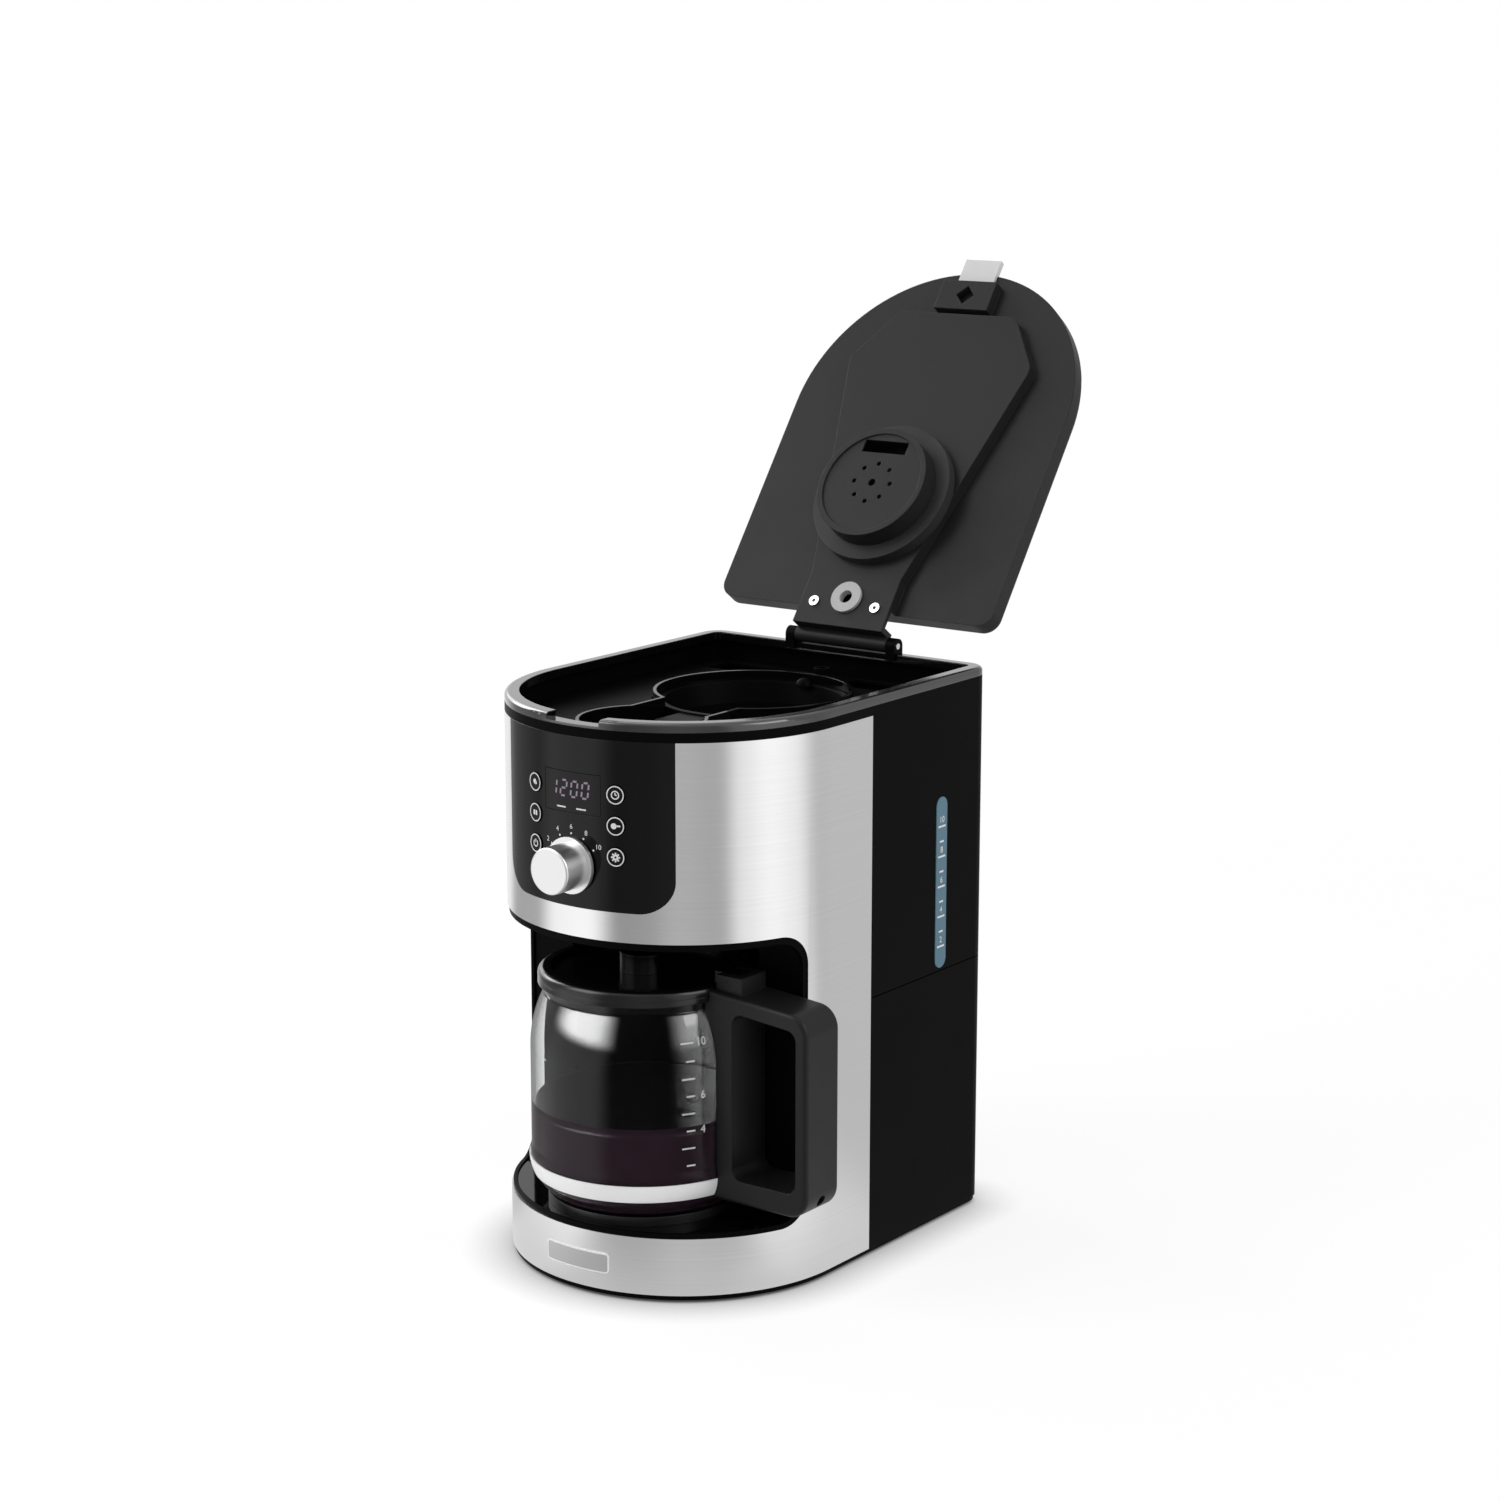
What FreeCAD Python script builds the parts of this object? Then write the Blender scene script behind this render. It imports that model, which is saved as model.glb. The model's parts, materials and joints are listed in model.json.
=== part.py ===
"""Drip coffee maker with a built-in grinder, as separate pieces in one frame.

Millimetres. X points to the machine's right, -Y to its front and +Z up.
The origin is the middle of the footprint, on the surface the feet stand on.
The lid is modelled closed and then turned open about its hinge.
"""
import FreeCAD, Part
import math
import os

V = FreeCAD.Vector

# Body outline
BODY_WIDTH = 220.0
BODY_DEPTH = 286.0
REAR_CORNER_RADIUS = 14.0
STEEL_WALL = 1.0
FRAME_WALL = 2.5
HOUSING_WALL = 3.0
STEEL_DEPTH = 154.0
FIT_GAP = 0.3
TOLERANCE = 0.01
STRAIGHT_LIMIT = 1e-9
PARALLEL_SHARE = 0.999
LEAST_CORNER_RADIUS = 2.0

# Heights of the body
FOOT_HEIGHT = 2.0
TRAY_FLOOR = 3.0
BASE_TOP_Z = 41.0
BAY_HEADROOM = 40.7
BAY_LIP = 4.5
FRAME_COLLAR_HEIGHT = 6.0
RIM_HEIGHT = 5.5
RIM_WIDTH = 9.0
RIM_ROUND = 3.0
NOTCH_HALF_WIDTH = 20.0
NOTCH_DEPTH = 4.0
HOUSING_SEAM_Z = 168.0
HOUSING_SEAM_GAP = 0.8

# Carafe bay
BAY_DEPTH = 90.0
BAY_CORNER_RADIUS = 20.0
BAY_RADIUS = 75.5
BAY_WALL = 2.5
CEILING_THICKNESS = 2.5
FRAME_LIP = 3.0
BREW_SETBACK = 68.0

# Feet, screws and cord inlet
FOOT_RADIUS = 9.0
FOOT_SIDE_INSET = 32.0
FOOT_FRONT_INSET = 55.0
FOOT_REAR_INSET = 25.0
SCREW_RADIUS = 2.0
SCREW_HEAD_RADIUS = 3.6
SCREW_LENGTH = 12.0
SCREW_HEAD_HEIGHT = 2.4
SCREW_HEAD_THICKNESS = 1.2
SCREW_FRONT_INSET = 63.0
SCREW_REAR_INSET = 83.0
SCREW_BOSS_RADIUS = 5.0
SCREW_BOSS_HEIGHT = 18.0
SCREW_BOSS_SINK = 3.0
TRAY_INSET = 1.0
TRAY_UPSTAND_WALL = 2.0
TRAY_UPSTAND_HEIGHT = 10.0
CORD_FLANGE = 2.5
CORD_BORE_RADIUS = 3.8
CORD_INLET_RADIUS = 6.0
CORD_INLET_INSET = 40.0
CORD_INLET_Z = 28.0

# Warming plate and water heater
PLATE_RADIUS = 60.0
PLATE_THICKNESS = 6.0
PLATE_SEAT = 3.0
PLATE_BOSS_RADIUS = 50.0
PLATE_BOSS_DEPTH = 2.5
BASE_DECK_THICKNESS = 2.0
HEATER_RING_RADIUS = 42.0
HEATER_TUBE_RADIUS = 5.5
WATER_BORE_RADIUS = 3.5
HEATER_LEG_X = 24.0
HEATER_END_SETBACK = 135.0
HEATER_BEND = 20.0

# Control panel
PANEL_HALF_WIDTH = 62.8
PANEL_RISE = 18.0
PANEL_HEIGHT = 103.5
PANEL_CORNER_RADIUS = 20.0
PANEL_WALL = 3.0
PANEL_FLANGE = 8.0
DISPLAY_HALF_WIDTH = 21.0
DISPLAY_RISE = 57.0
DISPLAY_HEIGHT = 25.0
DISPLAY_SAG = 2.6
DISPLAY_MARGIN = 2.0
BUTTON_ANGLE = 16.0
BUTTON_ROWS_RISE = (71.2, 52.5, 33.7)
BUTTON_RADIUS = 5.9
BUTTON_DEPTH = 7.0
BUTTON_TRAVEL = 1.0
BUTTON_PROUD = 0.6
BOARD_SETBACK = 21.0
BOARD_THICKNESS = 1.6
BOARD_HALF_WIDTH = 47.0
BOARD_RISE = 12.0
BOARD_HEIGHT = 79.0
BOARD_POST_X = 42.0
BOARD_POST_INSET = 4.0
BOARD_POST_RADIUS = 3.0
SWITCH_RADIUS = 2.2

# Selector knob
KNOB_RISE = 25.5
KNOB_FLANGE_RADIUS = 17.2
KNOB_FLANGE_THICKNESS = 2.6
KNOB_BARREL_RADIUS = 14.2
KNOB_LENGTH = 21.0
KNOB_EDGE_ROUND = 1.2
KNOB_STEM_RADIUS = 4.0
STEM_CLEARANCE = 0.05
ENCODER_RADIUS = 7.0
ENCODER_LENGTH = 9.0

# Top deck, brew well and basket
DECK_DROP = 9.5
DECK_THICKNESS = 2.5
CHAMBER_SPACING = 113.0
FRONT_CHAMBER_RADIUS = 34.0
REAR_CHAMBER_RADIUS = 57.0
NECK_HALF_WIDTH = 24.0
BASKET_WALL = 2.2
BASKET_FLOOR = 2.5
BASKET_RISE = 2.0
BASKET_RIM_RISE = 9.0
BASKET_RIM_HEIGHT = 22.0
BASKET_RIM_STEP = 4.0
WELL_GAP = 1.0
WELL_WALL = 2.0
WELL_FLOOR = 2.5
COLLAR_RADIUS = 30.5
COLLAR_DEPTH = 22.0
COLLAR_GAP = 1.5
SPINDLE_HOLE_RADIUS = 10.0
SPINDLE_GUARD_HEIGHT = 4.0
BASKET_LIP_HALF = 13.0
BASKET_LIP_REACH = 9.0

# Drip valve
VALVE_BOSS_RADIUS = 11.0
VALVE_BOSS_DEPTH = 9.0
VALVE_HOLE_RADIUS = 4.0
VALVE_STEM_RADIUS = 2.4
VALVE_CAP_RADIUS = 10.5
VALVE_CAP_HEIGHT = 7.0
VALVE_GAP = 9.0
VALVE_CAP_EDGE = 1.5
VALVE_NOSE_RADIUS = 4.7
VALVE_NOSE_RISE = 0.6
VALVE_SHOULDER_RADIUS = 8.9
VALVE_SHOULDER_RISE = 3.2
VALVE_HOLE_GAP = 2.0
VALVE_SEAL_RADIUS = 7.5
VALVE_SEAL_THICKNESS = 2.2
SPRING_RADIUS = 5.2
SPRING_WIRE_RADIUS = 0.45
SPRING_TURNS = 4
SPRING_ARCS = 4
SPRING_SAMPLE = 0.68
SPRING_SEAT = 0.25

# Filter
FILTER_RIM_RADIUS = 60.4
FILTER_BAND_RADIUS = 58.8
FILTER_TOP_RADIUS = 55.5
FILTER_FOOT_RADIUS = 50.0
FILTER_COLLAR_RADIUS = 45.0
FILTER_RIM_DROP = 6.0
FILTER_RIM_HEIGHT = 7.0
FILTER_BAND_HEIGHT = 20.0
FILTER_COLLAR_HEIGHT = 10.0
FILTER_LIFT = 7.0
FILTER_FLOOR = 3.0
FILTER_WALL = 2.4
FILTER_RIBS = 8
FILTER_RIB_WIDTH = 11.0
MESH_THICKNESS = 0.6
MESH_GAP = 0.2
FILTER_TAB_LENGTH = 26.0
FILTER_TAB_WIDTH = 24.0
FILTER_TAB_THICKNESS = 4.0
FILTER_NUB_RADIUS = 5.5
FILTER_NUB_INSET = 3.0
FILTER_NUB_SINK = 1.0
FILTER_TAB_DROP = 1.0
FILTER_SILL = 5.0
FILTER_HUB_HEIGHT = 13.0
FILTER_TURN = 5.0

# Grinder drive
MOTOR_RADIUS = 27.0
MOTOR_LENGTH = 74.0
MOUNT_DROP = 40.0
MOUNT_PLATE_THICKNESS = 3.0
MOUNT_WALL = 2.0
SHAFT_RADIUS = 4.0
COUPLING_RADIUS = 12.0
COUPLING_HEIGHT = 20.0
COUPLING_GAP = 1.5
SHAFT_DEPTH = 12.0
HEX_SIDES = 6
HEX_RADIUS = 6.5
HEX_CLEARANCE = 0.3
HEX_DEPTH = 11.0
SPINDLE_RADIUS = 4.0
BUSH_RADIUS = 8.0
RUNNING_CLEARANCE = 0.05
BLADE_LENGTH = 74.0
BLADE_WIDTH = 13.0
BLADE_THICKNESS = 1.6
BLADE_HUB_RADIUS = 9.0
BLADE_NUT_HEIGHT = 4.0

# Water tank and pipes
TANK_DEPTH = 67.0
TANK_BOTTOM_Z = 70.0
TANK_WALL = 2.0
TANK_SIDE_GAP = 1.0
TANK_WELL_GAP = 2.0
FILL_FRONT_INSET = 37.0
FILL_INNER_X = 16.0
FILL_SIDE_INSET = 22.0
FILL_REAR_INSET = 13.0
SPOUT_INSET = 30.0
SPOUT_RADIUS = 5.5
SPOUT_HEAD_RADIUS = 9.0
SPOUT_HEIGHT = 11.0
HOSE_RADIUS = 5.5
HOSE_BEND = 11.0
PIPE_CHANNEL_HALF = 8.0
CHECK_VALVE_INSET = 51.0
CHECK_VALVE_LENGTH = 16.0
CHECK_VALVE_RADIUS = 8.0
SPOUT_FLANGE = 2.5
GAUGE_INSET = 55.0
GAUGE_WIDTH = 12.0
GAUGE_RISE = 2.0
GAUGE_DROP = 55.0
GAUGE_THICKNESS = 3.4
GAUGE_PROUD = 0.3

# Lid and hinge
HINGE_INSET = 6.0
HINGE_RISE = 9.0
HINGE_PIN_RADIUS = 2.0
HINGE_BARREL_RADIUS = 5.0
HINGE_HALF_WIDTH = 36.0
HINGE_EAR_WIDTH = 7.0
HINGE_SINK = 4.0
HINGE_FOOT = 2.5
HINGE_WALL = 4.0
LID_OPEN_ANGLE = 126.0
LID_INSET = 3.0
LID_REAR_INSET = 25.0
LID_GAP = 2.0
LID_PLATE = 1.6
LID_HEIGHT = 12.0
LID_WALL = 2.4
LID_EDGE_ROUND = 4.0
COVER_DEPTH = 9.5
COVER_NARROW_INSET = 47.0
COVER_FRONT_HALF = 72.0
COVER_SHOULDER_SETBACK = 77.0
COVER_NOSE_HALF = 46.0
COVER_FRONT_SETBACK = 39.0
COVER_CORNER = 12.0
COVER_THICKNESS = 3.0
STRIP_HALF_WIDTH = 35.0
BLOCK_HALF_WIDTH = 21.0
BLOCK_LENGTH = 22.0
BLOCK_SETBACK = 13.0
DIAMOND_HALF = 7.0
SHOWER_RADIUS = 40.0
SHOWER_STEP_RADIUS = 50.0
SHOWER_DEPTH = 22.0
SHOWER_STEP_DEPTH = 8.0
SHOWER_HOLES = 8
SHOWER_HOLE_RADIUS = 1.6
SHOWER_HOLE_CIRCLE = 14.0
SHOWER_CENTRE_RADIUS = 2.6
SHOWER_WALL = 2.4
SHOWER_LIP = 4.0
SHOWER_SLOT_OFFSET = 31.0
SHOWER_SLOT_HALF = 17.0
SHOWER_SLOT_WIDTH = 9.0
GROMMET_RADIUS = 11.0
GROMMET_BORE = 4.5
GROMMET_NECK = 8.5
LID_SCREW_X = 24.0
LID_SCREW_INSET = 25.0
TAB_HALF_WIDTH = 14.0
TAB_REACH = 10.0
TAB_THICKNESS = 3.6
TAB_ROOT = 8.0

# Carafe
GLASS_RADIUS = 70.0
GLASS_FOOT_RADIUS = 64.0
GLASS_NECK_RADIUS = 62.0
GLASS_WALL = 2.4
GLASS_HEIGHT = 134.0
GLASS_FOOT_ROUND = 6.0
GLASS_SIDE_LOW = 30.0
GLASS_SHOULDER_HEIGHT = 34.0
GLASS_NECK_HEIGHT = 8.0
GLASS_SHOULDER_LEAN = 0.62
COLLAR_HEIGHT = 1.5
COLLAR_WALL = 3.0
COLLAR_LIP = 2.0
CARAFE_LID_HEIGHT = 6.0
CARAFE_LID_ROUND = 4.0
CARAFE_LID_BORDER = 8.0
CARAFE_LID_RECESS = 3.0
CARAFE_SKIRT = 9.0
CARAFE_CROWN_GAP = 0.9
CARAFE_LID_HOLE = 12.0
STRAP_Z = 12.0
STRAP_HEIGHT = 11.0
STRAP_THICKNESS = 0.8
STRAP_CLEARANCE = 0.05
HANDLE_REACH = 135.0
HANDLE_WIDTH = 34.0
HANDLE_GRIP = 8.0
HANDLE_TOP_ARM = 10.0
HANDLE_LOW_ARM = 15.0
HANDLE_FALL = 6.0
HANDLE_CORNER = 14.0
HANDLE_BAR = 10.0
HANDLE_EAR = 6.0
HANDLE_EARS_WIDTH = 24.0
HANDLE_BOTTOM_Z = 9.0
HANDLE_TOP_RISE = 6.0
HANDLE_ROUND = 3.0
HANDLE_SCREW_RADIUS = 3.2
HANDLE_SCREW_SHANK = 1.8
HANDLE_SCREW_DEPTH = 18.0
LID_PIN_RADIUS = 2.2
LID_PIN_OFFSET = 7.0
LID_PIN_RISE = 9.0

# Places across and along the body, worked out from the sizes above
HALF_WIDTH = BODY_WIDTH / 2
HALF_DEPTH = BODY_DEPTH / 2
FRONT_CENTRE_Y = HALF_WIDTH - HALF_DEPTH
INNER_INSET = STEEL_WALL + FRAME_WALL + FIT_GAP
STEEL_REAR_Y = STEEL_DEPTH - HALF_DEPTH
BAY_EDGE_Y = BAY_DEPTH - HALF_DEPTH
BREW_Y = BREW_SETBACK - HALF_DEPTH
CHAMBER_Y = BREW_Y + CHAMBER_SPACING
BAY_REAR_Y = BREW_Y + BAY_RADIUS + BAY_WALL
FOOT_X = HALF_WIDTH - FOOT_SIDE_INSET
FOOT_FRONT_Y = FOOT_FRONT_INSET - HALF_DEPTH
FOOT_REAR_Y = HALF_DEPTH - FOOT_REAR_INSET
SCREW_FRONT_Y = SCREW_FRONT_INSET - HALF_DEPTH
SCREW_REAR_Y = HALF_DEPTH - SCREW_REAR_INSET
CORD_INLET_X = CORD_INLET_INSET - HALF_WIDTH
HEATER_END_Y = HEATER_END_SETBACK - HALF_DEPTH
BOARD_Y = BOARD_SETBACK - HALF_DEPTH
TANK_FRONT_Y = HALF_DEPTH - TANK_DEPTH
FILL_FRONT_Y = HALF_DEPTH - FILL_FRONT_INSET
FILL_REAR_Y = HALF_DEPTH - FILL_REAR_INSET
FILL_OUTER_X = HALF_WIDTH - FILL_SIDE_INSET
SPOUT_Y = HALF_DEPTH - SPOUT_INSET
VALVE_Y = HALF_DEPTH - CHECK_VALVE_INSET
GAUGE_Y = HALF_DEPTH - GAUGE_INSET
HINGE_Y = HALF_DEPTH - HINGE_INSET
LID_REAR_Y = HALF_DEPTH - LID_REAR_INSET
LID_SCREW_Y = HALF_DEPTH - LID_SCREW_INSET
COVER_NARROW_Y = HALF_DEPTH - COVER_NARROW_INSET
COVER_SHOULDER_Y = COVER_SHOULDER_SETBACK - HALF_DEPTH
COVER_FRONT_Y = COVER_FRONT_SETBACK - HALF_DEPTH
BLOCK_FRONT_Y = BLOCK_SETBACK - HALF_DEPTH

# Carafe places, from its own axis and foot
GLASS_NECK_LOW = GLASS_HEIGHT - GLASS_NECK_HEIGHT
GLASS_SIDE_HIGH = GLASS_NECK_LOW - GLASS_SHOULDER_HEIGHT
COLLAR_OUTER_RADIUS = GLASS_NECK_RADIUS + COLLAR_WALL
LID_PIN_X = COLLAR_OUTER_RADIUS + LID_PIN_OFFSET
HANDLE_TOP_Z = GLASS_HEIGHT + HANDLE_TOP_RISE
HANDLE_GAP_X = GLASS_RADIUS + HANDLE_BAR
HANDLE_SCREW_X = GLASS_RADIUS + HANDLE_SCREW_DEPTH
HANDLE_SCREW_Z = STRAP_Z + STRAP_HEIGHT / 2

# Heights, from the feet up: the carafe sets the bay, and the bay sets what lies above it
STEEL_BOTTOM_Z = FOOT_HEIGHT + TRAY_FLOOR
DECK_TOP_Z = BASE_TOP_Z + BASE_DECK_THICKNESS
PLATE_TOP_Z = DECK_TOP_Z + PLATE_THICKNESS
HEATER_TOP_Z = DECK_TOP_Z - PLATE_BOSS_DEPTH
CARAFE_Z = PLATE_TOP_Z + FIT_GAP
BAY_TOP_Z = CARAFE_Z + GLASS_HEIGHT + BAY_HEADROOM
CEILING_Z = BAY_TOP_Z - BAY_LIP
PANEL_BOTTOM_Z = BAY_TOP_Z + PANEL_RISE
KNOB_Z = PANEL_BOTTOM_Z + KNOB_RISE
BUTTON_ROWS_Z = tuple(PANEL_BOTTOM_Z + rise for rise in BUTTON_ROWS_RISE)
DISPLAY_BOTTOM_Z = PANEL_BOTTOM_Z + DISPLAY_RISE
DISPLAY_TOP_Z = DISPLAY_BOTTOM_Z + DISPLAY_HEIGHT
BOARD_LOW_Z = PANEL_BOTTOM_Z + BOARD_RISE
BOARD_HIGH_Z = BOARD_LOW_Z + BOARD_HEIGHT
BOARD_POST_LOW_Z = BOARD_LOW_Z + BOARD_POST_INSET
BOARD_POST_HIGH_Z = BOARD_HIGH_Z - BOARD_POST_INSET
STEEL_TOP_Z = PANEL_BOTTOM_Z + PANEL_HEIGHT
RIM_SEAM_Z = STEEL_TOP_Z + FRAME_COLLAR_HEIGHT
RIM_TOP_Z = RIM_SEAM_Z + RIM_HEIGHT
NOTCH_FLOOR_Z = RIM_TOP_Z - NOTCH_DEPTH
DECK_Z = STEEL_TOP_Z - DECK_DROP
SPOUT_TOP_Z = DECK_Z + SPOUT_HEIGHT
GAUGE_BOTTOM_Z = HOUSING_SEAM_Z + GAUGE_RISE
GAUGE_TOP_Z = DECK_Z - GAUGE_DROP
HINGE_SEAT_Z = RIM_TOP_Z - HINGE_SINK
HINGE_Z = HINGE_SEAT_Z + HINGE_RISE
LID_BOTTOM_Z = RIM_TOP_Z + LID_GAP
COVER_BOTTOM_Z = LID_BOTTOM_Z - COVER_DEPTH

# Basket, filter, valve and grinder places
WELL_LOWER = BASKET_WALL + WELL_GAP
WELL_UPPER = BASKET_WALL + BASKET_RIM_STEP + WELL_GAP
BASKET_BOTTOM_Z = BAY_TOP_Z + BASKET_RISE
BASKET_RIM_TOP_Z = DECK_Z + BASKET_RIM_RISE
FILTER_BOTTOM_Z = BASKET_BOTTOM_Z + FILTER_LIFT
FILTER_RIM_TOP_Z = BASKET_RIM_TOP_Z - FILTER_RIM_DROP
FILTER_SEAT_Z = BASKET_RIM_TOP_Z - BASKET_RIM_HEIGHT + BASKET_WALL + FIT_GAP
FILTER_WINDOW_TOP_Z = FILTER_RIM_TOP_Z - FILTER_BAND_HEIGHT - FILTER_RIM_HEIGHT
VALVE_CAP_TOP_Z = BASKET_BOTTOM_Z - VALVE_BOSS_DEPTH - VALVE_GAP
VALVE_CAP_LOW_Z = VALVE_CAP_TOP_Z - VALVE_CAP_HEIGHT
CARAFE_CROWN_Z = VALVE_CAP_LOW_Z - CARAFE_CROWN_GAP - CARAFE_Z
MOUNT_PLATE_Z = BASKET_BOTTOM_Z - MOUNT_DROP
MOTOR_BOTTOM_Z = MOUNT_PLATE_Z - MOTOR_LENGTH

# Axes
X_AXIS = V(1, 0, 0)
Y_AXIS = V(0, 1, 0)
Z_AXIS = V(0, 0, 1)
FAR = 400.0


# Shape helpers
def box(low, high):
    return Part.makeBox(high[0] - low[0], high[1] - low[1], high[2] - low[2], V(*low))


def rod(radius, start, end):
    start, end = V(*start), V(*end)
    return Part.makeCylinder(radius, start.distanceToPoint(end), start, end - start)


def ring(outer, inner, x, y, low, high):
    return rod(outer, (x, y, low), (x, y, high)).cut(rod(inner, (x, y, low), (x, y, high)))


def joined(shapes):
    return shapes[0].multiFuse(list(shapes[1:])).removeSplitter()


def minus(shape, tools):
    return shape.cut(list(tools))


def outline_face(inset, z, rear_y=HALF_DEPTH):
    """Body outline: half round front, straight sides and rounded rear corners, drawn in by inset."""
    half = HALF_WIDTH - inset
    back = rear_y - inset if rear_y == HALF_DEPTH else rear_y
    corner = max(REAR_CORNER_RADIUS - inset, LEAST_CORNER_RADIUS)
    bend = corner * (1 - math.sqrt(0.5))
    left_side = V(-half, FRONT_CENTRE_Y, z)
    right_side = V(half, FRONT_CENTRE_Y, z)
    nose = V(0, FRONT_CENTRE_Y - half, z)
    corner_y = back - corner
    bend_y = back - bend
    edges = [
        Part.Arc(left_side, nose, right_side).toShape(),
        Part.LineSegment(right_side, V(half, corner_y, z)).toShape(),
        Part.Arc(V(half, corner_y, z), V(half - bend, bend_y, z), V(half - corner, back, z)).toShape(),
        Part.LineSegment(V(half - corner, back, z), V(corner - half, back, z)).toShape(),
        Part.Arc(V(corner - half, back, z), V(bend - half, bend_y, z), V(-half, corner_y, z)).toShape(),
        Part.LineSegment(V(-half, corner_y, z), left_side).toShape(),
    ]
    return Part.Face(Part.Wire(edges))


def outline_block(inset, low, high, rear_y=HALF_DEPTH):
    return outline_face(inset, low, rear_y).extrude(V(0, 0, high - low))


def outline_wall(inset, wall, low, high, rear_y=HALF_DEPTH):
    inner_rear = HALF_DEPTH if rear_y == HALF_DEPTH else rear_y - wall
    return outline_block(inset, low, high, rear_y).cut(outline_block(inset + wall, low, high, inner_rear))


def front_half(shape, limit_y):
    return shape.common(box((-FAR, -FAR, -FAR), (FAR, limit_y, FAR)))


def rear_half(shape, limit_y):
    return shape.common(box((-FAR, limit_y, -FAR), (FAR, FAR, FAR)))


def rounded_edges(shape, radius, chosen):
    edges = [edge for edge in shape.Edges if chosen(edge)]
    return shape.makeFillet(radius, edges)


def along(edge, axis):
    curve = edge.Curve
    return curve.TypeId == "Part::GeomLine" and abs(curve.Direction.dot(axis)) > PARALLEL_SHARE


def rounded_plate_x(low_y, high_y, low_z, high_z, radius):
    """Block right across the machine along X, with rounded edges along X."""
    block = box((-FAR, low_y, low_z), (FAR, high_y, high_z))
    return rounded_edges(block, radius, lambda edge: along(edge, X_AXIS))


def two_chamber_block(grow, low, high):
    """Guitar-shaped block of the brew chambers, grown outwards by grow."""
    front = rod(FRONT_CHAMBER_RADIUS + grow, (0, BREW_Y, low), (0, BREW_Y, high))
    rear = rod(REAR_CHAMBER_RADIUS + grow, (0, CHAMBER_Y, low), (0, CHAMBER_Y, high))
    half = NECK_HALF_WIDTH + grow
    neck = box((-half, BREW_Y, low), (half, CHAMBER_Y, high))
    return joined([front, rear, neck])


def revolved(points, x, y):
    """Solid of revolution about the vertical line at x, y through (radius, height) points."""
    wire = Part.makePolygon([V(radius, 0, z) for radius, z in points] + [V(points[0][0], 0, points[0][1])])
    solid = Part.Face(wire).revolve(V(0, 0, 0), Z_AXIS, 360)
    solid.translate(V(x, y, 0))
    return solid


def hex_block(radius, x, y, low, high):
    corners = []
    for i in range(HEX_SIDES + 1):
        turn = 2 * math.pi * i / HEX_SIDES
        corners.append(V(x + radius * math.cos(turn), y + radius * math.sin(turn), low))
    return Part.Face(Part.makePolygon(corners)).extrude(V(0, 0, high - low))


def tube_path(points, bend):
    """Wire of straight runs joined by tangent arcs through the given corner points."""
    corners = [V(*point) for point in points]
    edges = []
    start = corners[0]
    for before, corner, after in zip(corners, corners[1:], corners[2:]):
        inward = (before - corner).normalize()
        outward = (after - corner).normalize()
        turn = math.pi - inward.getAngle(outward)
        reach = bend * math.tan(turn / 2)
        first = corner + inward * reach
        last = corner + outward * reach
        middle_way = (inward + outward).normalize()
        middle = corner + middle_way * (bend / math.cos(turn / 2) - bend)
        edges.append(Part.LineSegment(start, first).toShape())
        edges.append(Part.Arc(first, middle, last).toShape())
        start = last
    edges.append(Part.LineSegment(start, corners[-1]).toShape())
    return Part.Wire(edges)


def swept_tube(points, bend, outer, inner):
    path = tube_path(points, bend)
    heading = V(*points[1]) - V(*points[0])

    def sweep(radius):
        section = Part.Wire([Part.makeCircle(radius, V(*points[0]), heading)])
        return path.makePipeShell([section], True, False)

    return sweep(outer).cut(sweep(inner))


def radial(angle, distance, z):
    """Point at an angle from the front, measured round the centre of the half round front."""
    turn = math.radians(angle)
    return (distance * math.sin(turn), FRONT_CENTRE_Y - distance * math.cos(turn), z)


def opened(shape):
    """Turns a closed-lid shape to the open position about the hinge."""
    turned = shape.copy()
    turned.rotate(V(0, HINGE_Y, HINGE_Z), X_AXIS, -LID_OPEN_ANGLE)
    return turned


# Base
def screw_places():
    frame_inside = HALF_WIDTH - STEEL_WALL - FRAME_WALL
    frame_half = math.sqrt(frame_inside ** 2 - (SCREW_FRONT_Y - FRONT_CENTRE_Y) ** 2)
    front_x = frame_half - SCREW_BOSS_SINK
    rear_x = HALF_WIDTH - HOUSING_WALL - SCREW_BOSS_SINK
    return {
        "front": [(side * front_x, SCREW_FRONT_Y) for side in (-1, 1)],
        "rear": [(side * rear_x, SCREW_REAR_Y) for side in (-1, 1)],
    }


def screw_bosses(where, grow=0.0):
    low = FOOT_HEIGHT + TRAY_FLOOR
    bosses = []
    for x, y in screw_places()[where]:
        bosses.append(rod(SCREW_BOSS_RADIUS + grow, (x, y, low), (x, y, low + SCREW_BOSS_HEIGHT)))
    return bosses


def screw_holes(where):
    low = FOOT_HEIGHT + TRAY_FLOOR
    return [rod(SCREW_RADIUS, (x, y, low), (x, y, low + SCREW_LENGTH)) for x, y in screw_places()[where]]


def base_tray():
    top = FOOT_HEIGHT + TRAY_FLOOR
    floor = outline_block(TRAY_INSET, FOOT_HEIGHT, top)
    upstand = outline_wall(INNER_INSET, TRAY_UPSTAND_WALL, top, top + TRAY_UPSTAND_HEIGHT)
    tray = joined([floor, upstand])
    holes = screw_bosses("front", FIT_GAP) + screw_bosses("rear", FIT_GAP)
    for x, y in screw_places()["front"] + screw_places()["rear"]:
        holes.append(rod(SCREW_RADIUS, (x, y, FOOT_HEIGHT), (x, y, top)))
        head_top = FOOT_HEIGHT + SCREW_HEAD_HEIGHT
        holes.append(rod(SCREW_HEAD_RADIUS + FIT_GAP, (x, y, FOOT_HEIGHT), (x, y, head_top)))
    return minus(tray, holes)


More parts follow.
